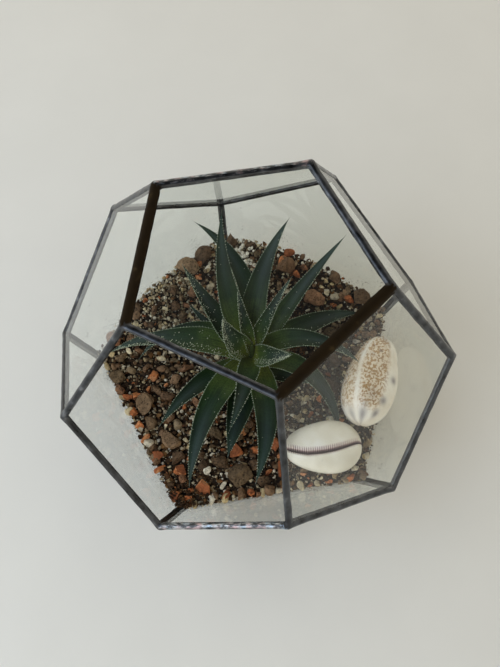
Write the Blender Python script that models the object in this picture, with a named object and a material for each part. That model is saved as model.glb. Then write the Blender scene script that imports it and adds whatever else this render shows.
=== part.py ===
"""Glass plant terrarium: a soldered dodecahedron case with one open face, planted and dressed.

Blender 4.5, metres, +Z up.  Origin on the ground under the middle of the case.
The planting mouth faces -Y.
"""
import math

import bmesh
import bpy
from mathutils import Vector
from mathutils.bvhtree import BVHTree

# ---------------------------------------------------------------- driving dimensions
EDGE = 0.080                 # edge of the dodecahedron, along the outer faces of the glass
GLASS = 0.002                # thickness of a pane
PANE_INSET = 0.00205         # from the ideal edge to the edge of the glass
GAP = 0.0003                 # clearance left wherever two pieces meet

FLANGE = 0.0031              # how far foil and solder reach over a pane, from the ideal edge
FLANGE_TIP = 0.00045         # height of the solder over the glass at the edge of the foil
FLANGE_INSIDE = 0.0006       # thickness of the solder on the inner side of the glass
RIDGE = 0.0006               # height of the bead over the ideal edge
RIM_BULGE = 0.0013           # how far the rim bead stands into the mouth
FOOT = 0.0007                # height of the flattened bead that the case stands on
MITRE_INSET = 0.00015        # half the clearance between two mitred seams
BEAD_STEPS = 4               # straight steps in each half of a bead
RIM_STEPS = 6                # straight steps round the rim bead

GROUND_LEVEL = 0.0480        # mean level of the top dressing
GROUND_CELL = 0.012          # grid spacing of its surface
DRESSING_DEPTH = 0.0050      # thickness of the top dressing
BANK_RISE = 0.0035           # how much higher than the middle it lies at the back
ROLL_HEIGHT = 0.0012         # of its soft rolls
ROLL_SPACING = 0.024         # of its rolls, crest to crest over 2 pi
MOUND_PLACE = Vector((0.076, 0.026))   # where it is heaped under the spotted shell
MOUND_HEIGHT = 0.0065
MOUND_REACH = 0.026
GROUND_CHAMFER = 0.0047      # how far the soil stays back from the inner corners of the case

STEM_FOOT = Vector((-0.0010, 0.0045, 0.0360))   # bottom of the root crown
STEM_TOP = 0.0800            # height of the growing point
STEM_RADIUS = 0.0060         # where it leaves the soil
STEM_TIP_RADIUS = 0.0022
STEM_TAPER_START = 0.0500    # height above the ground where the stem starts to taper
ROOT_RADIUS = 0.0075
STEM_SIDES = 14
LEAF_STATIONS = 10           # sections along a leaf
LEAF_STEPS = 120             # short steps that the run of a leaf is added up from
LEAF_STAND_OFF = 0.0004      # from the stem to the nearest corner of a leaf's foot
LEAF_EDGE = 0.0005           # thickness of a leaf along its margin
LEAF_FOOT_BREADTH = 0.30     # share of its full breadth that a leaf has at its foot
LEAF_FULLEST = 0.34          # share of its length at which it is broadest
LEAF_THICKEST = 0.25         # share of its length at which it is thickest

SHELL_RINGS = 14             # rings from end to end of a shell
SHELL_SIDES = 20
SHELL_BACK = 0.62            # share of a shell's height that lies above its widest line
SHELL_BLUNT = 0.20           # how much fuller it is towards its blunt end
SLIT_STEPS = 12
SLIT_WIDTH = 0.0018
SLIT_DEPTH = 0.0050
SLIT_RUN = 0.80              # share of the shell's length that the slit takes
SLIT_OFFSET = 0.0042         # of the slit from the middle of the base
SLIT_BOW = 0.0022
REST_GAP = 0.0004            # kept under and beside a shell where it touches

SHARP_ANGLE = math.radians(38)   # edges that turn more than this stay crisp

# ---------------------------------------------------------------- scene and helpers
for old in list(bpy.data.objects):
    bpy.data.objects.remove(old, do_unlink=True)


def add_object(name, mesh, colour, roughness, metallic=0.0, alpha=1.0, parent=None):
    """Link a mesh as a named object with a Principled material of its own."""
    obj = bpy.data.objects.new(name, mesh)
    bpy.context.scene.collection.objects.link(obj)
    finish = bpy.data.materials.new(name + "_finish")
    finish.use_nodes = True
    shader = finish.node_tree.nodes["Principled BSDF"]
    shader.inputs["Base Color"].default_value = (*colour, 1.0)
    shader.inputs["Roughness"].default_value = roughness
    shader.inputs["Metallic"].default_value = metallic
    shader.inputs["Alpha"].default_value = alpha
    mesh.materials.append(finish)
    obj.parent = parent
    return obj


def closed_mesh(name, bm):
    """Turn a bmesh into a mesh with its faces pointing outwards, smooth where it is round."""
    bmesh.ops.recalc_face_normals(bm, faces=bm.faces)
    mesh = bpy.data.meshes.new(name)
    bm.to_mesh(mesh)
    bm.free()
    mesh.shade_smooth()
    mesh.set_sharp_from_angle(angle=SHARP_ANGLE)
    return mesh


def bridge(bm, ring_a, ring_b):
    """Join two rings of equal length with a band of quads."""
    count = len(ring_a)
    for i in range(count):
        j = (i + 1) % count
        bm.faces.new((ring_a[i], ring_a[j], ring_b[j], ring_b[i]))


# ---------------------------------------------------------------- the dodecahedron
SMALL_RING = EDGE / (2 * math.sin(math.radians(36)))
LARGE_RING = SMALL_RING * (1 + math.sqrt(5)) / 2
LOW_LEVEL = FOOT + SMALL_RING
HIGH_LEVEL = FOOT + LARGE_RING
BOTTOM_LEVEL = FOOT
TOP_LEVEL = FOOT + SMALL_RING + LARGE_RING
CENTRE = Vector((0.0, 0.0, (BOTTOM_LEVEL + TOP_LEVEL) / 2))


def ring_of_corners(radius, level, first_azimuth):
    """Five corners, 72 degrees apart, at one level."""
    corners = []
    for k in range(5):
        azimuth = math.radians(first_azimuth + 72 * k)
        corners.append(Vector((radius * math.cos(azimuth), radius * math.sin(azimuth), level)))
    return corners


# The mouth's face looks along -Y.  Corner k of the two upper rings is the right-hand corner of
# upper face k, and corner k of the two lower rings is the left-hand corner of lower face k.
TOP = ring_of_corners(SMALL_RING, TOP_LEVEL, -54)
HIGH = ring_of_corners(LARGE_RING, HIGH_LEVEL, -54)
LOW = ring_of_corners(LARGE_RING, LOW_LEVEL, -90)
BOTTOM = ring_of_corners(SMALL_RING, BOTTOM_LEVEL, -90)
MOUTH = "upper_1"

FACES = {"top": TOP, "bottom": BOTTOM}
for k in range(5):
    after = (k + 1) % 5
    FACES[f"upper_{k + 1}"] = [TOP[k - 1], HIGH[k - 1], LOW[k], HIGH[k], TOP[k]]
    FACES[f"lower_{k + 1}"] = [BOTTOM[k], LOW[k], HIGH[k], LOW[after], BOTTOM[after]]


def middle(corners):
    """The point midway between some corners."""
    return sum(corners, Vector()) / len(corners)


FACE_MIDDLE = {face: middle(corners) for face, corners in FACES.items()}
FACE_NORMAL = {face: (spot - CENTRE).normalized() for face, spot in FACE_MIDDLE.items()}
FACE_DISTANCE = (FACE_MIDDLE["top"] - CENTRE).length


def pane_mesh(face):
    """A flat pentagon of glass, its edges square to its faces."""
    spot = FACE_MIDDLE[face]
    normal = FACE_NORMAL[face]
    corner_radius = SMALL_RING - PANE_INSET / math.cos(math.radians(36))
    bm = bmesh.new()
    rings = []
    for depth in (0.0, GLASS):
        ring = []
        for corner in FACES[face]:
            outward = (corner - spot).normalized()
            ring.append(bm.verts.new(spot + outward * corner_radius - normal * depth))
        rings.append(ring)
    bridge(bm, rings[0], rings[1])
    bm.faces.new(rings[0])
    bm.faces.new(rings[1])
    return closed_mesh("pane_" + face, bm)


GLASS_TINT = (0.72, 0.78, 0.78)
for face in FACES:
    if face != MOUTH:
        add_object("pane_" + face, pane_mesh(face), GLASS_TINT, 0.03, alpha=0.25)

# ---------------------------------------------------------------- solder seams
HALF_TURN = (math.pi - 2 * math.atan((1 + math.sqrt(5)) / 2)) / 2   # half the bend over an edge
SLOT_WALL = PANE_INSET - GAP
LEAN_COS = math.cos(HALF_TURN)
LEAN_SIN = math.sin(HALF_TURN)


def across(reach, height):
    """From (reach over the pane, height over its outer face) to the seam's own (x, y)."""
    return (reach * LEAN_COS + height * LEAN_SIN, height * LEAN_COS - reach * LEAN_SIN)


INNER_CORNER = -(GLASS + GAP + FLANGE_INSIDE) / LEAN_COS


def glazed_half(foot=False):
    """Half of a seam's section, ridge to inner corner, round the edge of a pane.

    The bead is an arc over the foil; the one the case stands on is pressed flat at FOOT."""
    tip_x, tip_y = across(FLANGE, FLANGE_TIP)
    rise = RIDGE - tip_y
    radius = (tip_x ** 2 + rise ** 2) / (2 * rise)
    sweep = math.asin(tip_x / radius)
    points = []
    for step in range(BEAD_STEPS + 1):
        angle = sweep * step / BEAD_STEPS
        x = radius * math.sin(angle)
        y = RIDGE - radius * (1 - math.cos(angle))
        height = x * LEAN_SIN + y * LEAN_COS
        if foot and height > FOOT:
            reach = x * LEAN_COS - y * LEAN_SIN
            x, y = across(reach, FOOT)
        points.append((x, y))
    points.append(across(FLANGE, GAP))
    points.append(across(SLOT_WALL, GAP))
    points.append(across(SLOT_WALL, -GLASS - GAP))
    points.append(across(FLANGE, -GLASS - GAP))
    points.append(across(FLANGE, -GLASS - GAP - FLANGE_INSIDE))
    points.append((0.0, INNER_CORNER))
    return points


def rim_half():
    """Half of a rim's section on the side of the mouth: one rounded bead."""
    middle_y = (RIDGE + INNER_CORNER) / 2
    reach_y = (RIDGE - INNER_CORNER) / 2
    points = []
    for step in range(RIM_STEPS + 1):
        angle = math.pi * step / RIM_STEPS
        points.append((RIM_BULGE * math.sin(angle), middle_y + reach_y * math.cos(angle)))
    return points


def add_seam(bm, start, end, face_a, face_b, foot=False, joined=None):
    """One seam along the edge from start to end, mitred through the middle of the case.

    Each half of the section is slid along the edge onto its own mitre plane.  joined names the
    face on whose side the ends stay open, to be welded to the next seam."""
    along = (end - start).normalized()
    edge_middle = (start + end) / 2
    up = (FACE_NORMAL[face_a] + FACE_NORMAL[face_b]).normalized()
    ridge_inset = 0.0 if joined else MITRE_INSET
    columns = {}
    for corner, inward in ((start, along), (end, -along)):
        middle_verts = []
        for face in (face_a, face_b):
            side = FACE_MIDDLE[face] - edge_middle
            side = (side - side.project(up)).normalized()
            points = rim_half() if face == MOUTH else glazed_half(foot and face == "bottom")
            mitre = (corner - CENTRE).cross(FACE_MIDDLE[face] - CENTRE).normalized()
            if mitre.dot(inward) < 0:
                mitre = -mitre
            body_inset = 0.0 if face == joined else MITRE_INSET
            column = []
            for index, (x, y) in enumerate(points):
                on_middle = index in (0, len(points) - 1)
                if on_middle and face == face_b:
                    column.append(middle_verts.pop(0))
                    continue
                inset = ridge_inset if on_middle else body_inset
                spot = edge_middle + side * x + up * y
                travel = (inset - (spot - corner).dot(mitre)) / along.dot(mitre)
                column.append(bm.verts.new(spot + along * travel))
                if on_middle:
                    middle_verts.append(column[-1])
            if face != joined:
                bm.faces.new(column)
            columns.setdefault(face, []).append(column)
    for near, far in columns.values():
        for i in range(len(near) - 1):
            bm.faces.new((near[i], near[i + 1], far[i + 1], far[i]))


def seam_mesh(name, start, end, face_a, face_b):
    bm = bmesh.new()
    add_seam(bm, start, end, face_a, face_b)
    return closed_mesh(name, bm)


def ring_mesh(name, face, corners, neighbours):
    """Five seams round one face, welded into a single ring of solder."""
    bm = bmesh.new()
    for k in range(5):
        add_seam(bm, corners[k - 1], corners[k], face, neighbours[k], foot=face == "bottom", joined=face)
    bmesh.ops.remove_doubles(bm, verts=bm.verts, dist=0.000002)
    return closed_mesh(name, bm)


SOLDER = {"colour": (0.030, 0.026, 0.024), "roughness": 0.42, "metallic": 0.9}
uppers = [f"upper_{k + 1}" for k in range(5)]
lowers = [f"lower_{k + 1}" for k in range(5)]
below = lowers[-1:] + lowers[:-1]   # the lower face between bottom corners k - 1 and k
add_object("seam_top_ring", ring_mesh("seam_top_ring", "top", TOP, uppers), **SOLDER)
add_object("seam_bottom_ring", ring_mesh("seam_bottom_ring", "bottom", BOTTOM, below), **SOLDER)
for k in range(5):
    after = (k + 1) % 5
    runs = {
        f"seam_upper_{k + 1}": (TOP[k], HIGH[k], uppers[k], uppers[after]),
        f"seam_lower_{k + 1}": (LOW[k], BOTTOM[k], lowers[k], lowers[k - 1]),
        f"seam_middle_{2 * k + 1}": (LOW[k], HIGH[k], uppers[k], lowers[k]),
        f"seam_middle_{2 * k + 2}": (HIGH[k], LOW[after], lowers[k], uppers[after]),
    }
    for name, (start, end, face_a, face_b) in runs.items():
        add_object(name, seam_mesh(name, start, end, face_a, face_b), **SOLDER)


# ---------------------------------------------------------------- soil and top dressing
def ground_level(x, y):
    """Height of the top dressing: a gentle bank at the back, a low front and a few soft rolls."""
    bank = BANK_RISE * y / LARGE_RING
    roll = ROLL_HEIGHT * math.sin(x / ROLL_SPACING - 0.6) * math.cos(y / ROLL_SPACING)
    off_mound = Vector((x, y)) - MOUND_PLACE
    mound = MOUND_HEIGHT * math.exp(-(off_mound.length / MOUND_REACH) ** 2)
    return GROUND_LEVEL + bank + roll + mound


def rolling_sheet(bm, drop):
    """A grid that follows the ground at a depth below its surface, wider than the case.

    Gives the corners round its border, in order."""
    reach = LARGE_RING * 1.1
    cells = round(2 * reach / GROUND_CELL)
    sheet = []
    for i in range(cells + 1):
        row = []
        for j in range(cells + 1):
            x = reach * (2 * i / cells - 1)
            y = reach * (2 * j / cells - 1)
            row.append(bm.verts.new((x, y, ground_level(x, y) - drop)))
        sheet.append(row)
    for i in range(cells):
        for j in range(cells):
            near, far = sheet[i][j], sheet[i + 1][j + 1]
            bm.faces.new((near, sheet[i + 1][j], far))
            bm.faces.new((near, far, sheet[i][j + 1]))
    border = sheet[0][:-1] + [row[-1] for row in sheet[:-1]]
    border += sheet[-1][:0:-1] + [row[0] for row in sheet[:0:-1]]
    return border


def trim_to_case(bm):
    """Cut a block back to the inside of the lower panes and clear of their seams."""
    cuts = []
    inside = FACE_DISTANCE - GLASS - GAP
    for face in ["bottom"] + lowers:
        cuts.append((FACE_NORMAL[face], inside))
    edge_distance = FACE_DISTANCE / math.cos(HALF_TURN)
    for k in range(5):
        for other in ("bottom", lowers[k - 1]):
            corner_normal = (FACE_NORMAL[lowers[k]] + FACE_NORMAL[other]).normalized()
            cuts.append((corner_normal, edge_distance - GROUND_CHAMFER))
    for normal, distance in cuts:
        geometry = list(bm.verts) + list(bm.edges) + list(bm.faces)
        cut = bmesh.ops.bisect_plane(bm, geom=geometry, dist=1e-7, plane_co=CENTRE + normal * distance,
                                     plane_no=normal, clear_outer=True)
        opened = [item for item in cut["geom_cut"] if isinstance(item, bmesh.types.BMEdge)]
        if opened:
            bmesh.ops.edgeloop_fill(bm, edges=opened)


def soil_mesh():
    """The bed of soil, from the bottom pane up to the underside of the top dressing."""
    bm = bmesh.new()
    rim = rolling_sheet(bm, DRESSING_DEPTH + GAP)
    floor = [bm.verts.new((v.co.x, v.co.y, 0.0)) for v in rim]
    bridge(bm, rim, floor)
    bm.faces.new(floor)
    trim_to_case(bm)
    return closed_mesh("soil_bed", bm)


def dressing_mesh():
    """The layer of loose grit and chips on the soil."""
    bm = bmesh.new()
    upper_rim = rolling_sheet(bm, 0.0)
    lower_rim = rolling_sheet(bm, DRESSING_DEPTH)
    bridge(bm, upper_rim, lower_rim)
    trim_to_case(bm)
    return closed_mesh("top_dressing", bm)


def turned_mesh(name, profile, sides):
    """A body turned about Z from (radius, height) points, capped at both ends."""
    bm = bmesh.new()
    rings = []
    for radius, height in profile:
        ring = []
        for k in range(sides):
            angle = 2 * math.pi * k / sides
            ring.append(bm.verts.new((radius * math.cos(angle), radius * math.sin(angle), height)))
        rings.append(ring)
    for lower, upper in zip(rings, rings[1:]):
        bridge(bm, lower, upper)
    bm.faces.new(rings[0])
    bm.faces.new(rings[-1])
    return closed_mesh(name, bm)


def stem_profile(margin):
    """Root crown in the soil, then the tapering stem; margin swells it to make its hole."""
    return [
        (ROOT_RADIUS * 0.4 + margin, -margin),
        (ROOT_RADIUS + margin, 0.004),
        (ROOT_RADIUS + margin, 0.008),
        (STEM_RADIUS + margin, STEM_TAPER_START - STEM_FOOT.z),
        (STEM_TIP_RADIUS + margin, STEM_TOP - STEM_FOOT.z + margin),
    ]


def cut_with(obj, cutter_mesh, parent):
    """Cut a hidden cutter's shape out of an object."""
    cutter = bpy.data.objects.new(cutter_mesh.name, cutter_mesh)
    bpy.context.scene.collection.objects.link(cutter)
    cutter.parent = parent
    cutter.hide_render = True
    cutter.display_type = "WIRE"
    cut = obj.modifiers.new(cutter_mesh.name, "BOOLEAN")
    cut.object = cutter
    cut.operation = "DIFFERENCE"


plant = bpy.data.objects.new("plant", None)
bpy.context.scene.collection.objects.link(plant)
plant.location = STEM_FOOT
stem_body = turned_mesh("stem", stem_profile(0.0), STEM_SIDES)
add_object("stem", stem_body, (0.16, 0.20, 0.07), 0.6, parent=plant)
soil = add_object("soil_bed", soil_mesh(), (0.035, 0.024, 0.016), 0.95)
dressing = add_object("top_dressing", dressing_mesh(), (0.16, 0.11, 0.075), 0.9)
for ground in (soil, dressing):
    cut_with(ground, turned_mesh(ground.name + "_root_hole", stem_profile(GAP), STEM_SIDES), plant)

# ---------------------------------------------------------------- leaves
# Each leaf leaves the stem at `height` above the ground, towards `azimuth`, climbing at `rise`.
# Over its length the climb changes by `arch` and the azimuth by `sweep`.  Angles in degrees,
# lengths in millimetres.
LEAF_COLUMNS = ("azimuth", "rise", "arch", "sweep", "length", "width", "thickness", "height")
LEAVES = {
    # low whorl, arching over the top dressing
    "leaf_01": (-4, 24, -18, 18, 48, 12, 4.0, 51.2),
    "leaf_02": (-76, 24, -25, 0, 64, 13, 4.0, 51.5),
    "leaf_03": (168, 16, -4, -8, 53, 10, 3.5, 50.8),
    "leaf_04": (-108, 31, -62, 40, 90, 14, 4.5, 60.2),
    "leaf_05": (-131, 28, -32, 36, 72, 12, 4.0, 54.0),
    "leaf_06": (-163, 46, -99, 12, 96, 14, 4.5, 62.0),
    "leaf_07": (153, 31, -66, 103, 81, 11, 4.0, 55.4),
    "leaf_08": (-42, 36, -52, -43, 84, 15, 4.5, 56.8),
    "leaf_09": (27, 46, -97, -84, 82, 14, 4.0, 53.2),
    "leaf_10": (45, 57, -90, -52, 72, 12, 4.0, 64.0),
    "leaf_11": (66, 29, -60, -23, 80, 12, 4.0, 50.8),
    # middle whorl, standing up behind
    "leaf_12": (104, 37, -38, 68, 98, 11, 4.0, 52.6),
    "leaf_13": (165, 40, -2, -9, 71, 10, 3.5, 57.5),
    "leaf_14": (77, 41, -13, -9, 92, 13, 4.5, 57.0),
    "leaf_15": (122, 42, -6, -47, 86, 14, 4.5, 61.0),
    "leaf_16": (161, 43, -6, -53, 87, 14, 4.5, 66.0),
    "leaf_17": (-69, 45, -44, -14, 62, 11, 4.0, 64.0),
    # young leaves in the middle
    "leaf_18": (79, 69, -11, -16, 65, 8, 3.5, 65.0),
    "leaf_19": (-23, 57, 1, 11, 54, 9, 3.5, 66.0),
    "leaf_20": (218, 60, 27, -8, 57, 8, 3.5, 66.0),
    "leaf_21": (152, 69, 9, -10, 55, 7, 3.0, 70.0),
}


def leaf_breadth(share):
    """Breadth at a share of the length: a narrow foot, fullest at a third, then a long point."""
    if share < LEAF_FULLEST:
        swell = math.sin(share / LEAF_FULLEST * math.pi / 2)
        return LEAF_FOOT_BREADTH + (1 - LEAF_FOOT_BREADTH) * swell
    return 1.0 - ((share - LEAF_FULLEST) / (1 - LEAF_FULLEST)) ** 1.25


def leaf_depth(share):
    """Thickness at a share of the length."""
    if share < LEAF_THICKEST:
        return 0.60 + 0.40 * share / LEAF_THICKEST
    return 1.0 - 0.92 * ((share - LEAF_THICKEST) / (1 - LEAF_THICKEST)) ** 1.6


def leaf_run(leaf):
    """Points along the middle of a leaf with the direction of its run, face and side there."""
    spot = Vector((0.0, 0.0, leaf["height"] / 1000 - STEM_FOOT.z))
    step = leaf["length"] / 1000 / LEAF_STEPS
    run = []
    for index in range(LEAF_STEPS + 1):
        share = (index + 0.5) / LEAF_STEPS
        climb = math.radians(leaf["rise"] + leaf["arch"] * share)
        heading = math.radians(leaf["azimuth"] + leaf["sweep"] * share)
        level = Vector((math.cos(heading), math.sin(heading), 0.0))
        along = level * math.cos(climb) + Vector((0.0, 0.0, math.sin(climb)))
        face = Vector((0.0, 0.0, math.cos(climb))) - level * math.sin(climb)
        run.append((spot.copy(), face, along.cross(face)))
        spot = spot + along * step
    return run


def stem_radius(height):
    """Radius of the stem at a height above its foot."""
    share = (height + STEM_FOOT.z - STEM_TAPER_START) / (STEM_TOP - STEM_TAPER_START)
    return STEM_RADIUS + (STEM_TIP_RADIUS - STEM_RADIUS) * min(max(share, 0.0), 1.0)


def leaf_section(leaf, share, spot, face, side):
    """Eight points round a leaf: a shallow channel above and a keel below."""
    half = leaf["width"] / 2000 * leaf_breadth(share)
    deep = leaf["thickness"] / 1000 * leaf_depth(share)
    lip = 0.2 * half
    outline = ((half, lip), (0.0, 0.0), (-half, lip), (-half, lip - LEAF_EDGE), (-0.5 * half, -0.7 * deep),
               (0.0, -deep), (0.5 * half, -0.7 * deep), (half, lip - LEAF_EDGE))
    return [spot + side * x + face * y for x, y in outline]


def leaf_mesh(name, leaf):
    """A thick blade from just off the stem to a pointed tip."""
    run = leaf_run(leaf)
    first = 0
    while True:
        corners = leaf_section(leaf, first / LEAF_STEPS, *run[first])
        if min(point.xy.length - stem_radius(point.z) for point in corners) > LEAF_STAND_OFF:
            break
        first += 1
    bm = bmesh.new()
    rings = []
    for station in range(LEAF_STATIONS):
        index = first + round((LEAF_STEPS - first) * station / LEAF_STATIONS)
        points = leaf_section(leaf, index / LEAF_STEPS, *run[index])
        rings.append([bm.verts.new(point) for point in points])
    for lower, upper in zip(rings, rings[1:]):
        bridge(bm, lower, upper)
    bm.faces.new(rings[0])
    tip = bm.verts.new(run[-1][0])
    last = rings[-1]
    for i in range(len(last)):
        bm.faces.new((last[i], last[(i + 1) % len(last)], tip))
    return closed_mesh(name, bm)


for name, row in LEAVES.items():
    leaf = dict(zip(LEAF_COLUMNS, row))
    add_object(name, leaf_mesh(name, leaf), (0.045, 0.085, 0.045), 0.42, parent=plant)

# ---------------------------------------------------------------- cowries
def shell_mesh(name, length, width, height):
    """An egg-shaped cowrie, blunt end at +X, back up and a flatter base below."""
    bm = bmesh.new()
    rings = []
    for i in range(1, SHELL_RINGS):
        turn = math.pi * i / SHELL_RINGS
        x = -0.5 * length * math.cos(turn)
        girth = math.sin(turn) ** 0.85 * (1.0 - SHELL_BLUNT * math.sin(turn) * math.cos(turn))
        ring = []
        for k in range(SHELL_SIDES):
            angle = 2 * math.pi * k / SHELL_SIDES
            y = 0.5 * width * girth * math.cos(angle)
            rise = SHELL_BACK if math.sin(angle) > 0 else 1 - SHELL_BACK
            z = rise * height * girth * math.sin(angle)
            ring.append(bm.verts.new((x, y, z)))
        rings.append(ring)
    for near, far in zip(rings, rings[1:]):
        bridge(bm, near, far)
    for ring, x in ((rings[0], -0.5 * length), (rings[-1], 0.5 * length)):
        end = bm.verts.new((x, 0.0, 0.0))
        for k in range(SHELL_SIDES):
            bm.faces.new((ring[k], ring[(k + 1) % SHELL_SIDES], end))
    return closed_mesh(name, bm)


def slit_mesh(name, length, height):
    """A curved blade that cuts the mouth slit along the base of a shell."""
    bm = bmesh.new()
    rings = []
    for i in range(SLIT_STEPS + 1):
        share = 2 * i / SLIT_STEPS - 1
        x = 0.5 * SLIT_RUN * length * share
        y = SLIT_OFFSET - SLIT_BOW * (share + 0.3) ** 2
        half = 0.5 * SLIT_WIDTH * (0.6 + 0.4 * abs(share))
        roof = (SHELL_BACK - 1) * height + SLIT_DEPTH * (1 - 0.7 * share * share)
        ring = [(x, y - half, -height), (x, y + half, -height), (x, y + half, roof), (x, y - half, roof)]
        rings.append([bm.verts.new(point) for point in ring])
    for near, far in zip(rings, rings[1:]):
        bridge(bm, near, far)
    bm.faces.new(rings[0])
    bm.faces.new(rings[-1])
    return closed_mesh(name, bm)


def add_cowrie(name, size, place, turn, colour):
    """A shell with its mouth slit, at a place and turned by Euler angles in degrees."""
    length, width, height = size
    shell = add_object(name, shell_mesh(name, length, width, height), colour, 0.25)
    shell.location = place
    shell.rotation_euler = [math.radians(angle) for angle in turn]
    cut_with(shell, slit_mesh(name + "_slit", length, height), shell)
    return shell


def world_points(obj):
    """Corners of an object's own mesh, before its modifiers, in the world."""
    bpy.context.view_layer.update()
    return [obj.matrix_world @ vert.co for vert in obj.data.vertices]


def lower_onto(obj, ground):
    """Let an object down until it lies REST_GAP above the ground's surface."""
    falls = []
    for point in world_points(obj):
        hit = ground.ray_cast(point + Vector((0, 0, 0.05)), Vector((0, 0, -1)))[0]
        if hit is not None:
            falls.append(point.z - hit.z)
    obj.location.z -= min(falls) - REST_GAP


def push_against(obj, face):
    """Slide an object level until it lies REST_GAP from the inside of a pane."""
    normal = FACE_NORMAL[face]
    reach = max((point - CENTRE).dot(normal) for point in world_points(obj))
    spare = FACE_DISTANCE - GLASS - REST_GAP - reach
    level = Vector((normal.x, normal.y, 0.0))
    obj.location += level.normalized() * spare / level.length


white_cowrie = add_cowrie("cowrie_white", (0.043, 0.030, 0.022), (0.0595, -0.0268, 0.062), (180, 0, 29),
                          (0.62, 0.58, 0.50))
spotted_cowrie = add_cowrie("cowrie_spotted", (0.056, 0.031, 0.026), (0.066, 0.0198, 0.075), (26, 0, -80),
                            (0.55, 0.42, 0.30))
ground_surface = BVHTree.FromPolygons([vert.co.copy() for vert in dressing.data.vertices],
                                      [list(face.vertices) for face in dressing.data.polygons])
lower_onto(white_cowrie, ground_surface)
for _ in range(4):
    push_against(spotted_cowrie, "lower_2")
    lower_onto(spotted_cowrie, ground_surface)
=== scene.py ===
"""Looks of a glass plant terrarium: a soldered glass dodecahedron, planted, with grit and shells.

Blender 4.5, metres, +Z up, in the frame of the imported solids.  The planting mouth faces -Y.
"""
import math
import random

import bmesh
import bpy
import numpy as np
from mathutils import Euler, Matrix, Vector, noise
from mathutils.bvhtree import BVHTree


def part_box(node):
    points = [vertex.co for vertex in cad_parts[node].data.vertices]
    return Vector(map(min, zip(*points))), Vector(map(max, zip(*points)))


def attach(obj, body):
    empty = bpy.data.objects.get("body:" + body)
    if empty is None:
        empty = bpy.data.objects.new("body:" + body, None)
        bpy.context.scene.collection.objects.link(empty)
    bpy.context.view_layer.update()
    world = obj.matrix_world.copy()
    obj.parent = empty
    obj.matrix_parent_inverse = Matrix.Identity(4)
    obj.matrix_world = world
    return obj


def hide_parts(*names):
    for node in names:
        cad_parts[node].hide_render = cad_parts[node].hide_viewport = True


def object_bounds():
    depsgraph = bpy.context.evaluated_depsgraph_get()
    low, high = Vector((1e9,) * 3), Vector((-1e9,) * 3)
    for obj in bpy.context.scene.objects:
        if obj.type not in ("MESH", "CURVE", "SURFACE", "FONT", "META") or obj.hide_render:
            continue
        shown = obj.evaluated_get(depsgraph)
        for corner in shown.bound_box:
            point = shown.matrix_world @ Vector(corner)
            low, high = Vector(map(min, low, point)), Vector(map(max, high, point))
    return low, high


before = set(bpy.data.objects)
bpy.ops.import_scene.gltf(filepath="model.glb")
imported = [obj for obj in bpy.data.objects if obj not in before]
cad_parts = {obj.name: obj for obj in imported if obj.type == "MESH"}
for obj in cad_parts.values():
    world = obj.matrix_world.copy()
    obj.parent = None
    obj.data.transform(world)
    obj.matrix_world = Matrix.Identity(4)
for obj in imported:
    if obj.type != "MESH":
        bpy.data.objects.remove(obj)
cad_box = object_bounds()

# ---------------------------------------------------------------- glass panes
# Eleven pentagons of 2 mm float glass, cut with a wheel and edged with copper foil.  Their solids
# already have the true shape, so they stay and only get their glass, dusty and a little soiled.
MM = 0.001


def colour(code):
    """A colour given as sRGB hex, in the linear values that shaders take."""
    channels = [int(code[i:i + 2], 16) / 255 for i in (1, 3, 5)]
    return tuple(c / 12.92 if c < 0.04045 else ((c + 0.055) / 1.055) ** 2.4 for c in channels) + (1.0,)


def add(material, kind, inputs=(), stops=(), **settings):
    """Add a node to a material: its settings, a ramp's stops, then a value or a link for each input.

    Inputs go by name or by number: a colour Mix takes 0, 6 and 7, and a MapRange from 1, 2 to 3, 4.
    A node given as an input is linked by the first output that it has in use."""
    tree = material.node_tree
    made = tree.nodes.new("ShaderNode" + kind)
    for name, value in settings.items():
        setattr(made, name, value)
    for number, (place, code) in enumerate(stops):
        elements = made.color_ramp.elements
        stop = elements[number] if number < 2 else elements.new(place)
        stop.position = place
        stop.color = colour(code) if isinstance(code, str) else (code, code, code, 1.0)
    for name, value in dict(inputs).items():
        if isinstance(value, bpy.types.Node):
            value = next(socket for socket in value.outputs if socket.enabled)
        if isinstance(value, bpy.types.NodeSocket):
            tree.links.new(value, made.inputs[name])
        else:
            made.inputs[name].default_value = value
    return made


def new_material(name):
    """An empty material with its output node."""
    material = bpy.data.materials.new(name)
    material.use_nodes = True
    material.node_tree.nodes.clear()
    return material


def finish_material(material, shader):
    """Link the last shader to the material's output."""
    add(material, "OutputMaterial", {"Surface": shader})
    return material


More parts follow.
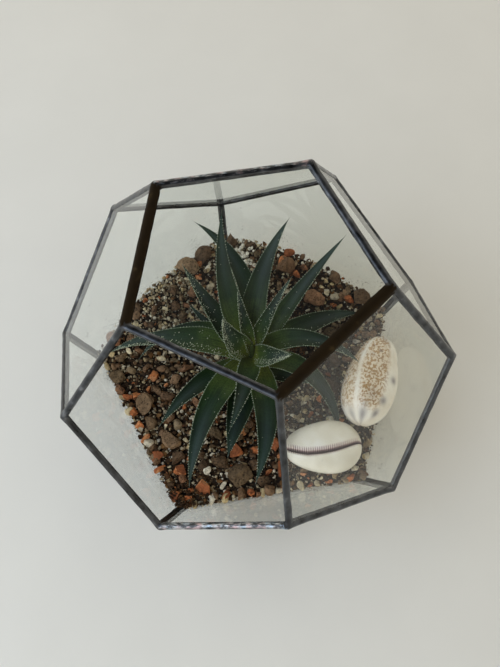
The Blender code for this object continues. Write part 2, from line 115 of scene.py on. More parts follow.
def float_glass():
    """Clear float glass: nearly invisible straight on, a bright mirror at a glancing angle, faintly
    green, under a film of dust, with soil splashed on it just above the ground."""
    glass = new_material("float_glass_with_dust")
    where = add(glass, "TexCoord").outputs["Object"]
    sides = add(glass, "NewGeometry")
    front = add(glass, "Math", {0: 1.0, 1: sides.outputs["Backfacing"]}, operation="SUBTRACT")
    clear = add(glass, "BsdfTransparent", {"Color": colour("#fdfefd")})
    mirror = add(glass, "BsdfGlossy", {"Color": colour("#ffffff"), "Roughness": 0.03})
    bend = add(glass, "Fresnel", {"IOR": 1.52})
    # both faces of a pane mirror: 2 F / (1 + F) of the light, where each alone would send back F, and
    # the dust takes a good third of that
    twice = add(glass, "Math", {0: bend, 1: 2.0}, operation="MULTIPLY")
    once_more = add(glass, "Math", {0: bend, 1: 1.0}, operation="ADD")
    both_faces = add(glass, "Math", {0: twice, 1: once_more}, operation="DIVIDE")
    facing = add(glass, "Math", {0: both_faces, 1: front}, operation="MULTIPLY")
    shine = add(glass, "Math", {0: facing, 1: 0.62}, operation="MULTIPLY")
    pane = add(glass, "MixShader", {0: shine, 1: clear, 2: mirror})
    # a thin film of dust in cloudy patches some 30 mm across, thicker and limy near the ground, and
    # looking denser at a glancing angle
    height = add(glass, "SeparateXYZ", {0: where}).outputs["Z"]
    clouds = add(glass, "TexNoise", {"Vector": where, "Scale": 1 / (30 * MM), "Detail": 5.0})
    thin = add(glass, "MapRange", {0: clouds, 1: 0.35, 2: 0.75, 3: 0.001, 4: 0.006})
    flecks = add(glass, "TexNoise", {"Vector": where, "Scale": 1 / (14 * MM), "Detail": 7.0,
                                     "Roughness": 0.68})
    limy = add(glass, "MapRange", {0: flecks, 1: 0.38, 2: 0.64, 3: 0.015, 4: 0.12})
    low_down = add(glass, "MapRange", {0: height, 1: 46 * MM, 2: 84 * MM, 3: 1.0, 4: 0.0})
    film = add(glass, "Math", {0: limy, 1: low_down, 2: thin}, operation="MULTIPLY_ADD")
    slant = add(glass, "Math", {0: bend, 1: 12.0, 2: 0.5}, operation="MULTIPLY_ADD")
    seen = add(glass, "Math", {0: film, 1: slant}, operation="MULTIPLY", use_clamp=True)
    # specks of soil 1 mm and less, thick at ground level and gone 40 mm above it
    reach = add(glass, "MapRange", {0: height, 1: 48 * MM, 2: 88 * MM, 3: 0.62, 4: 0.80})
    specks = add(glass, "TexNoise", {"Vector": where, "Scale": 1 / (1.1 * MM), "Detail": 3.0,
                                     "Roughness": 0.7})
    patches = add(glass, "TexNoise", {"Vector": where, "Scale": 1 / (9 * MM), "Detail": 2.0})
    grainy = add(glass, "Math", {0: patches, 1: 0.5, 2: specks}, operation="MULTIPLY_ADD")
    lowered = add(glass, "Math", {0: grainy, 1: 0.25}, operation="SUBTRACT")
    soiled = add(glass, "Math", {0: lowered, 1: reach}, operation="GREATER_THAN")
    spotted = add(glass, "Math", {0: soiled, 1: 0.45}, operation="MULTIPLY")
    covered = add(glass, "Math", {0: seen, 1: spotted}, operation="MAXIMUM")
    dull = add(glass, "Math", {0: covered, 1: front}, operation="MULTIPLY")
    tone = add(glass, "Mix", {0: soiled, 6: colour("#e9ebe8"), 7: colour("#8c8274")}, data_type="RGBA")
    dust = add(glass, "BsdfDiffuse", {"Color": tone, "Roughness": 0.5})
    dusty = add(glass, "MixShader", {0: dull, 1: pane, 2: dust})
    return finish_material(glass, dusty)


clear_glass = float_glass()
for name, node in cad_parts.items():
    if name.startswith("pane_"):
        for slot in node.material_slots:
            slot.material = clear_glass

# ---------------------------------------------------------------- solder seams
# The panes are held by one net of tin-lead solder run over copper foil by hand with an iron: a
# rounded, slightly lumpy bead outside, a flatter fillet inside, darkened with a patina wash.
PHI = (1 + math.sqrt(5)) / 2
TOP_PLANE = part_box("pane_top")[1].z
FOOT_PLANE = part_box("pane_bottom")[0].z
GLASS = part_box("pane_bottom")[1].z - FOOT_PLANE
INRADIUS = (TOP_PLANE - FOOT_PLANE) / 2
SMALL_RING = 2 * INRADIUS / (1 + PHI)
LARGE_RING = SMALL_RING * PHI
CENTRE = Vector((0.0, 0.0, FOOT_PLANE + INRADIUS))
MOUTH = "upper_1"            # the face left open for planting


def ring_of_corners(radius, level, first_azimuth):
    """Five corners of the case, 72 degrees apart, at one level."""
    turns = [math.radians(first_azimuth + 72 * k) for k in range(5)]
    return [Vector((radius * math.cos(turn), radius * math.sin(turn), level)).freeze() for turn in turns]


TOP = ring_of_corners(SMALL_RING, TOP_PLANE, -54)
HIGH = ring_of_corners(LARGE_RING, FOOT_PLANE + LARGE_RING, -54)
LOW = ring_of_corners(LARGE_RING, FOOT_PLANE + SMALL_RING, -90)
BOTTOM = ring_of_corners(SMALL_RING, FOOT_PLANE, -90)
CORNERS = TOP + HIGH + LOW + BOTTOM
FACES = {"top": TOP, "bottom": BOTTOM}
for k in range(5):
    FACES[f"upper_{k + 1}"] = [TOP[k - 1], HIGH[k - 1], LOW[k], HIGH[k], TOP[k]]
    FACES[f"lower_{k + 1}"] = [BOTTOM[k], LOW[k], HIGH[k], LOW[(k + 1) % 5], BOTTOM[(k + 1) % 5]]
FACE_MIDDLE = {face: sum(corners, Vector()) / 5 for face, corners in FACES.items()}
FACE_NORMAL = {face: (spot - CENTRE).normalized() for face, spot in FACE_MIDDLE.items()}

HALF_TURN = (math.pi - 2 * math.atan(PHI)) / 2      # half the bend over an edge
LEAN_COS = math.cos(HALF_TURN)
LEAN_SIN = math.sin(HALF_TURN)
RIDGE = 0.6 * MM             # height of the bead over the ideal edge
FOIL_REACH = 3.0 * MM        # how far the foil laps over the glass, from the ideal edge
FOIL_LIP = 0.10 * MM         # thickness of the solder at the edge of the foil
FOIL_WAVER = 0.35 * MM       # how much its edge wavers, in runs of
WAVER_RUN = 7 * MM
PANE_INSET = 2.0 * MM        # from the ideal edge to the edge of the glass
INNER_FILL = 3.3 * MM        # from the ideal edge to the face of the inner fillet
RIM_BULGE = 1.3 * MM         # how far the rim bead stands into the mouth
SEAM_STEPS = 50              # along a seam
BEAD_STEPS = 7               # across half a bead
WELD_GAP = 0.002 * MM        # points closer than this are made one
LUMP_RUN = 5.5 * MM          # length of the lumps that the iron leaves
BLOB_REACH = 3.6 * MM        # how far the blob on a corner goes
STREAK = 0.28                # how drawn out along a seam its bare streaks are
# the brown on these two seams is painted: it stands in for the dark brown that they reflect
BROWN_REFLECTION_SEAMS = ({TOP[3], TOP[4]}, {TOP[0], TOP[1]})       # their patina has gone brown,
BROWN_SPREAD = 0.9 * MM                                  # and their foil laps this much further
NARROW_SEAMS = ({LOW[2], HIGH[1]}, {LOW[2], HIGH[2]}, {LOW[3], HIGH[2]}, {LOW[3], HIGH[3]},
                {LOW[3], BOTTOM[3]})                     # foiled with a narrower tape
NARROWER = -0.65 * MM
WIDENING_RUN = 4 * MM        # a seam comes to its own width this far from its ends
# these seams are partly rubbed bare and partly painted bright, a painted reflection of the bright floor
# they face
SILVER_AND_SHEEN_SEAMS = {frozenset((LOW[0], HIGH[0])): 1.0, frozenset((TOP[2], TOP[3])): 0.75,
                frozenset((LOW[1], HIGH[1])): 0.35}      # how far they are rubbed bright


def across(reach, height):
    """From (reach over a pane, height over its outer face) to a seam's own (x, y)."""
    return (reach * LEAN_COS + height * LEAN_SIN, height * LEAN_COS - reach * LEAN_SIN)


def glazed_half():
    """Half of a seam's outline, ridge to inner fillet, as (x, y, swell, drift).

    swell is how much of the iron's lumps a point takes, and drift how much of the foil's waver."""
    tip_x, tip_y = across(FOIL_REACH, FOIL_LIP)
    rise = RIDGE - tip_y
    radius = (tip_x ** 2 + rise ** 2) / (2 * rise)
    sweep = math.asin(tip_x / radius)
    outline = []
    for step in range(BEAD_STEPS + 1):
        share = step / BEAD_STEPS
        angle = sweep * share
        outline.append((radius * math.sin(angle), RIDGE - radius * (1 - math.cos(angle)),
                        1 - 0.8 * share ** 2, share ** 2))
    lap = 0.01 * MM
    outline.append((*across(FOIL_REACH, lap), 0.0, 1.0))
    outline.append((*across(PANE_INSET, lap), 0.0, 0.0))
    outline.append((*across(PANE_INSET, -GLASS - lap), 0.0, 0.0))
    outline.append((*across(FOIL_REACH, -GLASS - lap), 0.0, 1.0))
    for reach, depth in ((3.0, 0.15), (2.6, 0.45), (1.7, 0.70), (0.8, 0.85)):
        outline.append((*across(reach * MM, -GLASS - depth * MM), 0.4, 0.6))
    outline.append((0.0, -INNER_FILL, 0.4, 0.0))
    return outline


def rim_half():
    """Half of a rim's outline on the side of the mouth: a bead run round the foil."""
    middle_y = (RIDGE - INNER_FILL) / 2
    reach_y = (RIDGE + INNER_FILL) / 2
    steps = BEAD_STEPS + 3
    outline = []
    for step in range(steps + 1):
        angle = math.pi * step / steps
        outline.append((RIM_BULGE * math.sin(angle), middle_y + reach_y * math.cos(angle), 0.8, 0.0))
    return outline


def solder_net():
    """All thirty seams, mitred on the planes through the middle of the case and welded together."""
    bm = bmesh.new()
    drift_layer = bm.verts.layers.float_vector.new("drift")
    patina_layer = bm.verts.layers.float_vector.new("patina")      # (brown, silver, swell)
    grain_layer = bm.verts.layers.float_vector.new("grain")        # drawn out along the seam
    reach_layer = bm.verts.layers.float.new("reach")
    edges = {}
    for face, corners in FACES.items():
        for i in range(5):
            edges.setdefault(frozenset((corners[i], corners[i - 1])), []).append(face)
    for ends, faces in sorted(edges.items(), key=lambda item: sorted(tuple(end) for end in item[0])):
        start, end = sorted(ends, key=tuple)
        along = (end - start).normalized()
        edge_middle = (start + end) / 2
        up = (FACE_NORMAL[faces[0]] + FACE_NORMAL[faces[1]]).normalized()
        brown = float(ends in BROWN_REFLECTION_SEAMS)
        wider = BROWN_SPREAD * brown + NARROWER * (ends in NARROW_SEAMS)
        for face in faces:
            side = FACE_MIDDLE[face] - edge_middle
            side = (side - side.project(up)).normalized()
            mitres = [(corner - CENTRE).cross(FACE_MIDDLE[face] - CENTRE).normalized()
                      for corner in (start, end)]
            columns = []
            for x, y, swell, drift in rim_half() if face == MOUTH else glazed_half():
                spot = edge_middle + side * x + up * y
                first = spot - along * ((spot - start).dot(mitres[0]) / along.dot(mitres[0]))
                last = spot - along * ((spot - end).dot(mitres[1]) / along.dot(mitres[1]))
                column = []
                for step in range(SEAM_STEPS + 1):
                    vert = bm.verts.new(first.lerp(last, step / SEAM_STEPS))
                    inward = FACE_MIDDLE[face] - vert.co
                    inward -= inward.project(FACE_NORMAL[face])
                    vert[reach_layer] = wider
                    vert[drift_layer] = inward.normalized() * drift
                    vert[patina_layer] = (brown, SILVER_AND_SHEEN_SEAMS.get(ends, 0.0), swell)
                    vert[grain_layer] = ((vert.co - start).dot(along) * STREAK, x + start.x, y + start.y)
                    column.append(vert)
                columns.append(column)
            for near, far in zip(columns, columns[1:]):
                for step in range(SEAM_STEPS):
                    bm.faces.new((near[step], near[step + 1], far[step + 1], far[step]))
    bmesh.ops.remove_doubles(bm, verts=bm.verts, dist=WELD_GAP)
    bmesh.ops.recalc_face_normals(bm, faces=bm.faces)
    bm.normal_update()
    return bm


def run_by_hand(bm):
    """The net as the iron leaves it: lumps, a blob where seams meet, and a wavering edge of foil.

    Nothing moves out of the box of the solids."""
    drift_layer, patina_layer = [bm.verts.layers.float_vector[name] for name in ("drift", "patina")]
    reach_layer = bm.verts.layers.float["reach"]
    low, high = cad_box
    moved = []
    for vert in bm.verts:
        place = vert.co
        lumps = 0.55 * noise.noise(place / LUMP_RUN) + 0.25 * noise.noise(place / LUMP_RUN * 2.7)
        nearest = min((place - corner).length for corner in CORNERS)
        blob = math.exp(-(nearest / BLOB_REACH) ** 2)
        swell = vert[patina_layer].z * (0.28 * lumps + 0.35 * blob - 0.1) * MM
        waver = FOIL_WAVER * noise.noise(place / WAVER_RUN + Vector((5, 1, 3)))
        spread = vert[reach_layer] * min(1.0, nearest / WIDENING_RUN)
        spot = place + vert.normal * swell + vert[drift_layer] * (waver + spread)
        moved.append(Vector([min(max(spot[i], low[i]), high[i]) for i in range(3)]))
    for vert, spot in zip(bm.verts, moved):
        vert.co = spot
    return bm


def to_object(name, shape, material, smooth=True):
    """A named piece in the scene's collection, from a bmesh or a finished mesh."""
    mesh = shape
    if isinstance(shape, bmesh.types.BMesh):
        mesh = bpy.data.meshes.new(name)
        shape.to_mesh(mesh)
        shape.free()
    if smooth:
        mesh.shade_smooth()
    mesh.materials.append(material)
    piece = bpy.data.objects.new(name, mesh)
    bpy.context.scene.collection.objects.link(piece)
    return piece


def patinated_solder():
    """Tin-lead solder under a black patina wash: dull gunmetal with soft highlights, rubbed back to silver
    on the lumps with a painted bluish-to-rosy sheen, and painted warm brown on two seams for the dark
    brown that they reflect."""
    solder = new_material("patinated_tin_lead_solder")
    where = add(solder, "TexCoord").outputs["Object"]
    worn = add(solder, "Attribute", attribute_name="patina").outputs["Vector"]
    brown, silver, lumps = add(solder, "SeparateXYZ", {0: worn}).outputs
    blotches = add(solder, "TexNoise", {"Vector": where, "Scale": 1 / (6 * MM), "Detail": 4.0})
    wash = add(solder, "ValToRGB", {0: blotches}, stops=((0.35, "#2a2c2f"), (0.62, "#4b4e53"),
                                                         (0.75, "#7b7e83")))
    # painted reflection: warm brown on two seams, for the dark brown that they reflect
    painted_brown_reflection = add(solder, "ValToRGB", {0: blotches}, stops=((0.30, "#1f170c"), (0.62, "#2b2112"),
                                                         (0.74, "#483c27")))
    patina = add(solder, "Mix", {0: brown, 6: wash, 7: painted_brown_reflection}, data_type="RGBA")
    grain = add(solder, "Attribute", attribute_name="grain").outputs["Vector"]
    rubbed = add(solder, "TexNoise", {"Vector": grain, "Scale": 1 / (1.4 * MM), "Detail": 3.0,
                                      "Roughness": 0.65})
    # bare metal shows on the lumps of the listed seams, hardly at all on the others: partly wear, partly a
    # painted highlight for the bright floor that these seams reflect
    ridge = add(solder, "Math", {0: silver, 1: lumps}, operation="MULTIPLY")
    limit = add(solder, "MapRange", {0: ridge, 3: 0.70, 4: 0.38})
    over = add(solder, "Math", {0: rubbed, 1: limit}, operation="SUBTRACT")
    bare = add(solder, "MapRange", {0: over, 1: 0.0, 2: 0.16, 3: 0.0, 4: 0.8})
    kept = add(solder, "Math", {0: 1.0, 1: brown}, operation="SUBTRACT")
    shown = add(solder, "Math", {0: bare, 1: kept}, operation="MULTIPLY")
    # the bare metal is tinted from bluish to rosy: a painted sheen for the coloured highlights it shows
    bloom = add(solder, "ValToRGB", {0: blotches}, stops=((0.40, "#a3b5c8"), (0.5, "#bfc3c8"),
                                                          (0.60, "#bfa8ab")))
    bright = add(solder, "Mix", {0: shown, 6: patina, 7: bloom}, data_type="RGBA")
    dulling = add(solder, "MapRange", {0: blotches, 1: 0.3, 2: 0.7, 3: 0.24, 4: 0.44})
    matt = add(solder, "Math", {0: brown, 1: 0.35, 2: dulling}, operation="MULTIPLY_ADD")
    waxed = add(solder, "MapRange", {0: brown, 3: 0.25, 4: 0.0})
    pits = add(solder, "Bump", {"Height": rubbed, "Strength": 0.45, "Distance": 0.2 * MM})
    shader = add(solder, "BsdfPrincipled", {"Base Color": bright, "Metallic": 0.9, "Roughness": matt,
                                            "Coat Weight": waxed, "Coat Roughness": 0.16, "Normal": pits})
    return finish_material(solder, shader)


seams = to_object("solder_net", run_by_hand(solder_net()), patinated_solder())
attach(seams, "root")
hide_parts(*[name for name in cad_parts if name.startswith("seam_")])

# ---------------------------------------------------------------- soil
# Peat and fine bark, spooned in and pressed down: one dark crumbly bed that lies against the lower
# panes, and the loose stuff under the grit.  Both are the solids' own shapes with a crumbled surface.
BANKED_FACES = ("lower_3", "lower_4")       # the back panes, where the dressing was heaped up
BANK_HEIGHT = 8 * MM
BANK_FOOT = 48 * MM          # how far from the middle of the case the bank begins
GROUND_EDGE = 73 * MM        # how far from the middle the level ground goes
BANK_HALF = 52 * MM          # half the length of the bank along a pane
BED_TOP = (36 * MM, 47 * MM)     # between these heights the dressing takes up the slope of the bank
OUTWARD = {face: Vector((*FACE_NORMAL[face].xy, 0.0)).normalized() for face in BANKED_FACES}


def soft_step(value, low, high):
    """0 below low, 1 above high, and smooth between."""
    share = min(1.0, max(0.0, (value - low) / (high - low)))
    return share * share * (3 - 2 * share)


def bank(x, y):
    """How much higher the dressing lies where it is heaped on the back panes, and which way is out."""
    highest, way = 0.0, Vector((0.0, 0.0, 0.0))
    for out in OUTWARD.values():
        reach, aside = x * out.x + y * out.y, x * out.y - y * out.x
        rise = BANK_HEIGHT * soft_step(reach, BANK_FOOT, GROUND_EDGE)
        rise *= max(0.0, 1 - (aside / BANK_HALF) ** 2)
        if rise > highest:
            highest, way = rise, out
    return highest, way


def crumbled(name, node, material, cell, crumb, depth):
    """A copy of a solid on an even net of faces, eaten back by crumbs of a given size and depth."""
    source = bpy.data.objects.new(name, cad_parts[node].data.copy())
    bpy.context.scene.collection.objects.link(source)
    even = source.modifiers.new("even_net", "REMESH")
    even.mode = "VOXEL"
    even.voxel_size = cell
    bpy.context.view_layer.update()
    mesh = bpy.data.meshes.new_from_object(source.evaluated_get(bpy.context.evaluated_depsgraph_get()))
    bpy.data.objects.remove(source)
    bm = bmesh.new()
    bm.from_mesh(mesh)
    bm.normal_update()
    eaten = []
    for vert in bm.verts:
        coarse = noise.noise(vert.co / crumb)
        fine = noise.noise(vert.co / crumb * 2.3 + Vector((7, 7, 7)))
        eaten.append(vert.co - vert.normal * depth * (0.5 + 0.55 * coarse + 0.35 * fine))
    for vert, spot in zip(bm.verts, eaten):
        vert.co = spot
    bpy.data.meshes.remove(mesh)
    return to_object(name, bm, material)


def peat_and_bark():
    """Damp peat with crumbled bark: near black, matt, with tan fibres and a few pale specks."""
    peat = new_material("damp_peat_and_bark")
    where = add(peat, "TexCoord").outputs["Object"]
    crumbs = add(peat, "TexVoronoi", {"Vector": where, "Scale": 1 / (1.7 * MM), "Randomness": 1.0})
    tone = add(peat, "ValToRGB", {0: crumbs.outputs["Color"]}, stops=((0.25, "#20160e"), (0.55, "#36271a"),
                                                                      (0.78, "#4f3a26"), (0.93, "#83694a")))
    grain = add(peat, "TexNoise", {"Vector": where, "Scale": 1 / (0.8 * MM), "Detail": 4.0})
    shade = add(peat, "MapRange", {0: grain, 1: 0.3, 2: 0.7, 3: 0.55, 4: 1.25})
    mixed = add(peat, "Mix", {0: 1.0, 6: tone, 7: shade}, data_type="RGBA", blend_type="MULTIPLY")
    raised = add(peat, "Math", {0: crumbs.outputs["Distance"], 1: -1.0, 2: grain}, operation="MULTIPLY_ADD")
    rough = add(peat, "Bump", {"Height": raised, "Strength": 0.9, "Distance": 0.8 * MM})
    shader = add(peat, "BsdfPrincipled", {"Base Color": mixed, "Roughness": 0.9, "Normal": rough})
    return finish_material(peat, shader)


peat = peat_and_bark()
soil = crumbled("potting_soil", "soil_bed", peat, cell=2.2 * MM, crumb=4.4 * MM, depth=0.7 * MM)
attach(soil, "root")
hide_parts("soil_bed")
under_layer = crumbled("loose_peat", "top_dressing", peat, cell=1.8 * MM, crumb=4.5 * MM, depth=1.6 * MM)
for vert in under_layer.data.vertices:
    rise, out = bank(vert.co.x, vert.co.y)
    share = soft_step(vert.co.z, *BED_TOP)
    vert.co += (Vector((0, 0, rise)) + out * rise / 2) * share
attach(under_layer, "root")
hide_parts("top_dressing")

# ---------------------------------------------------------------- stones and grit
# Loose dressing, strewn by hand: lava and clay pebbles, broken brick, river gravel, sharp pale grit,
# perlite, and flakes of bark.  Each kind is one piece of many stones.
LOWER_FACES = ["bottom"] + [f"lower_{k + 1}" for k in range(5)]
LOWEST_GROUND = 42 * MM      # below this the ray has missed the level ground
LOWEST_SEEN = 4 * MM         # stones pressed to the lower panes lie above this
UP = Vector((0, 0, 1))
TRIES = 12                   # places tried for each stone before giving up
PULL_IN = 0.985              # how far a stone set too near the glass is drawn in at a time
laid = []                    # (place, radius, way up) of every stone that keeps others off it


def face_tree(node):
    """A solid's faces, to be asked how far off they are."""
    return BVHTree.FromPolygons([vert.co.copy() for vert in node.data.vertices],
                                [list(face.vertices) for face in node.data.polygons])


ground = face_tree(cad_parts["top_dressing"])
in_the_way = [face_tree(node) for name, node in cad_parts.items()
              if name.startswith(("leaf_", "stem", "cowrie_"))]


def surface(x, y):
    """The point on the ground over (x, y), or None outside the case."""
    inner = Vector((x, y, TOP_PLANE))
    for out in OUTWARD.values():
        inner -= out * max(0.0, inner.dot(out) - GROUND_EDGE)
    hit = ground.ray_cast(inner, -UP)[0]
    if hit is None or hit.z < LOWEST_GROUND:
        return None
    return Vector((x, y, hit.z + bank(x, y)[0]))


def room(point):
    """How far inside the lower panes a point lies."""
    return min(INRADIUS - GLASS - (point - CENTRE).dot(FACE_NORMAL[face]) for face in LOWER_FACES)


def is_free(point, radius):
    """Whether a stone there stays clear of the leaves and shells."""
    return all(tree.find_nearest(point, radius)[0] is None for tree in in_the_way)


def stone_shape(rng, detail, breaks, roughness, flatness, depths=(0.45, 0.82)):
    """One stone of radius 1: a ball with flat broken faces, roughened and flattened."""
    bm = bmesh.new()
    bmesh.ops.create_icosphere(bm, subdivisions=detail, radius=1.0)
    cuts = []
    for _ in range(breaks):
        facing = Vector((rng.gauss(0, 1), rng.gauss(0, 1), rng.gauss(0, 1))).normalized()
        cuts.append((facing, rng.uniform(*depths)))
    shift = Vector((rng.uniform(0, 90), rng.uniform(0, 90), rng.uniform(0, 90)))
    wide = rng.uniform(0.58, 0.95)
    for vert in bm.verts:
        spot = vert.co.copy()
        for facing, depth in cuts:
            over = spot.dot(facing) - depth
            if over > 0:
                spot -= facing * over
        bulge = (0.55 * noise.noise(spot * 1.3 + shift) + 0.35 * noise.noise(spot * 4.1 + shift)
                 + 0.2 * noise.noise(spot * 9.0 + shift))
        spot *= 1 + roughness * bulge
        vert.co = (spot.x, spot.y * wide, spot.z * flatness)
    corners = np.array([vert.co[:] for vert in bm.verts])
    faces = np.array([[vert.index for vert in face.verts] for face in bm.faces])
    bm.free()
    return corners / np.linalg.norm(corners, axis=1).max(), faces


def stone_shapes(rng, count, flatness, **kind):
    """Several stones of one kind, each with its own flatness between two bounds."""
    return [stone_shape(rng, flatness=rng.uniform(*flatness), **kind) for _ in range(count)]


def heap(name, material, shapes, stones, rng, tumble, smooth=0):
    """One piece of many stones, each (place, radius, way up): shapes in turn, each with its tumble.

    Bends up to smooth degrees look round, and sharper ones stay edges."""
    all_corners, all_faces, count = [], [], 0
    for number, (place, radius, up) in enumerate(stones):
        corners, faces = shapes[number % len(shapes)]
        lie = up.to_track_quat("Z", "Y").to_matrix()
        tilt = rng.gauss(0, tumble), rng.gauss(0, tumble)
        turn = Euler((*tilt, rng.uniform(0, 2 * math.pi))).to_matrix()
        all_corners.append(corners @ np.array(lie @ turn).T * radius + np.array(place))
        all_faces.append(faces + count)
        count += len(corners)
    mesh = bpy.data.meshes.new(name)
    mesh.from_pydata(np.concatenate(all_corners), [], np.concatenate(all_faces).tolist())
    piece = to_object(name, mesh, material, smooth > 0)
    if smooth:
        mesh.set_sharp_from_angle(angle=math.radians(smooth))
    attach(piece, "root")


def strew(rng, count, sizes, sink, spread=None, keep_off=0.0):
    """Drop stones over the ground: sizes in mm, sunk by a share of their radius.

    spread(x, y) is the chance that a stone stays there, and keep_off how much of the bigger
    stones' radius it keeps clear of."""
    dropped = []
    tries = 0
    others = np.array([stone[0][:2] for stone in laid])
    reach = np.array([stone[1] for stone in laid]) * keep_off
    while len(dropped) < count and tries < count * TRIES:
        tries += 1
        x, y = rng.uniform(-LARGE_RING, LARGE_RING), rng.uniform(-LARGE_RING, LARGE_RING)
        if spread and rng.random() > spread(x, y):
            continue
        radius = MM / 2 * (sizes[0] + (sizes[1] - sizes[0]) * rng.random() ** 1.8)   # most are small
        spot = surface(x, y)
        if spot is None:
            continue
        place = spot + UP * radius * (1 - sink) * 0.6
        if room(place) < radius * 0.75 or not is_free(place, radius * 0.9):
            continue
        if keep_off and np.any(np.hypot(*(others - place[:2]).T) < radius + reach):
            continue
        dropped.append((place, radius, UP))
    return dropped


def set_by_hand(rows, lift):
    """Stones set at (x, y, size) in mm, raised by a share of their size and kept off the glass."""
    stones = []
    for x, y, size in rows:
        radius = size * MM / 2 * 1.1
        raised = UP * size * lift * MM
        flat = Vector((x, y)) * MM
        spot = surface(*flat)
        while spot is None or room(spot + raised) < radius * 0.8:
            flat *= PULL_IN
            spot = surface(*flat)
        stones.append((spot + raised, radius, UP))
    laid.extend(stones)
    return stones


def press_to_glass(rng, count, sizes):
    """Stones that show through the lower panes, pressed flat side out against the glass."""
    pressed = []
    for face in LOWER_FACES[1:]:
        corners = FACES[face]
        for _ in range(count):
            radius = MM / 2 * rng.uniform(*sizes)
            shares = [rng.random() ** 2 for _ in corners]
            spot = sum((corner * share for corner, share in zip(corners, shares)), Vector()) / sum(shares)
            spot = spot - FACE_NORMAL[face] * (GLASS + 0.3 * MM + radius * 0.45)
            over = surface(spot.x, spot.y)
            buried = over is not None and LOWEST_SEEN < spot.z < over.z - radius
            if buried and room(spot) > radius * 0.4:
                pressed.append((spot, radius, FACE_NORMAL[face]))
    return pressed


def stone_material(name, tones, roughness, pore, pore_depth, pore_shade):
    """A stone whose tone changes from piece to piece, mottled, with painted shade darkening the inside of
    its pores.
    """
    stone = new_material(name)
    where = add(stone, "TexCoord").outputs["Object"]
    each = add(stone, "NewGeometry").outputs["Random Per Island"]
    tone = add(stone, "ValToRGB", {0: each}, stops=tones)
    mottle = add(stone, "TexNoise", {"Vector": where, "Scale": 1 / (2.4 * pore), "Detail": 6.0,
                                     "Roughness": 0.7})
    shade = add(stone, "MapRange", {0: mottle, 1: 0.3, 2: 0.7, 3: 0.42, 4: 1.55})
    pits = add(stone, "TexVoronoi", {"Vector": where, "Scale": 1 / pore})
    # painted shade: the colour darkens towards the middle of each pore, as shade in a hollow
    pore_shade_and_relief = add(stone, "MapRange", {0: pits.outputs["Distance"], 1: 0.12, 2: 0.42, 3: pore_shade, 4: 1.0})
    both = add(stone, "Math", {0: shade, 1: pore_shade_and_relief}, operation="MULTIPLY")
    mixed = add(stone, "Mix", {0: 1.0, 6: tone, 7: both}, data_type="RGBA", blend_type="MULTIPLY")
    relief = add(stone, "Math", {0: mottle, 1: 1.5, 2: pore_shade_and_relief}, operation="MULTIPLY_ADD")
    bumps = add(stone, "Bump", {"Height": relief, "Strength": 0.9, "Distance": pore_depth})
    shader = add(stone, "BsdfPrincipled", {"Base Color": mixed, "Roughness": roughness,
                                           "Specular IOR Level": 0.3, "Normal": bumps})
    return finish_material(stone, shader)


# lava and clay pebbles: the ones in plain sight are listed one by one, (x, y, size) in mm
PEBBLES = ((-37, -34, 9), (-46, -45, 13), (-22, -58, 12), (-1, -43, 11), (10, -56, 12), (23, -59, 14),
           (-60, 57, 13), (-49, 73, 12), (20, 78, 9), (15, 60, 13), (41, 75, 13), (-73, -25, 8),
           (-84, -18, 12), (-71, -38, 10), (-64, -43, 8), (-30, -47, 9), (35, -56, 10), (-10, 70, 12),
           (-69, 46, 14), (-14, -66, 9), (1, -64, 8), (-38, -54, 8), (28, -50, 9), (48, 14, 10),
           (40, 28, 12), (52, 40, 9), (33, 45, 9), (-20, -30, 8), (30, -72, 8), (44, -62, 7))
rng = random.Random(7)
LAVA_TONES = ((0.0, "#524130"), (0.3, "#775c45"), (0.5, "#876d53"), (0.7, "#5e503b"), (0.85, "#835a40"),
              (1.0, "#8d755a"))
lava = stone_material("porous_lava_and_baked_clay", LAVA_TONES, roughness=0.85, pore=1.3 * MM,
                      pore_depth=0.5 * MM, pore_shade=0.3)
pebbles = set_by_hand(PEBBLES, lift=0.16)
shapes = stone_shapes(rng, 12, (0.6, 0.85), detail=4, breaks=6, roughness=0.22)
heap("lava_pebbles", lava, shapes, pebbles, rng, tumble=0.25, smooth=40)
more = strew(rng, 300, (3.2, 8.5), sink=0.4, keep_off=0.7)
laid += more
shapes = stone_shapes(rng, 16, (0.6, 0.9), detail=3, breaks=7, roughness=0.18)
more += press_to_glass(rng, 8, (3.5, 8))
heap("small_lava_pebbles", lava, shapes, more, rng, tumble=0.4, smooth=35)

# broken brick, listed one by one where it shows most
BRICKS = ((8, -74, 12), (-59, 50, 7), (-12, 71, 10), (-2, 68, 8), (34, 69, 7), (-49, -36, 6),
          (-51, -27, 7), (-53, -56, 7), (-45, -61, 7), (-26, -72, 9), (33, -33, 9), (42, -45, 9),
          (-4, -86, 7), (3, -84, 7), (24, -41, 8), (-8, -62, 5), (-12, 80, 7), (71, -40, 5),
          (85, -34, 6), (55, -42, 5), (36, -70, 6), (-58, -46, 7), (-54, -43, 7), (-36, -64, 8),
          (-9, -71, 8), (-20, -77, 7), (14, -47, 10), (12, -35, 8), (21, -73, 7), (39, -38, 7))
bricks = set_by_hand(BRICKS, lift=0.2)
more = strew(rng, 80, (2.0, 6.0), sink=0.4, keep_off=0.7)
laid += more
bricks += more + press_to_glass(rng, 5, (3, 6))
shapes = stone_shapes(rng, 14, (0.65, 1.0), detail=3, breaks=9, roughness=0.035, depths=(0.38, 0.72))
BRICK_TONES = ((0.0, "#7b472b"), (0.4, "#a8623a"), (0.7, "#b97345"), (1.0, "#c58a5f"))
brick = stone_material("broken_red_brick", BRICK_TONES, roughness=0.85, pore=0.6 * MM,
                       pore_depth=0.12 * MM, pore_shade=0.75)
heap("brick_chips", brick, shapes, bricks, rng, tumble=0.5, smooth=20)


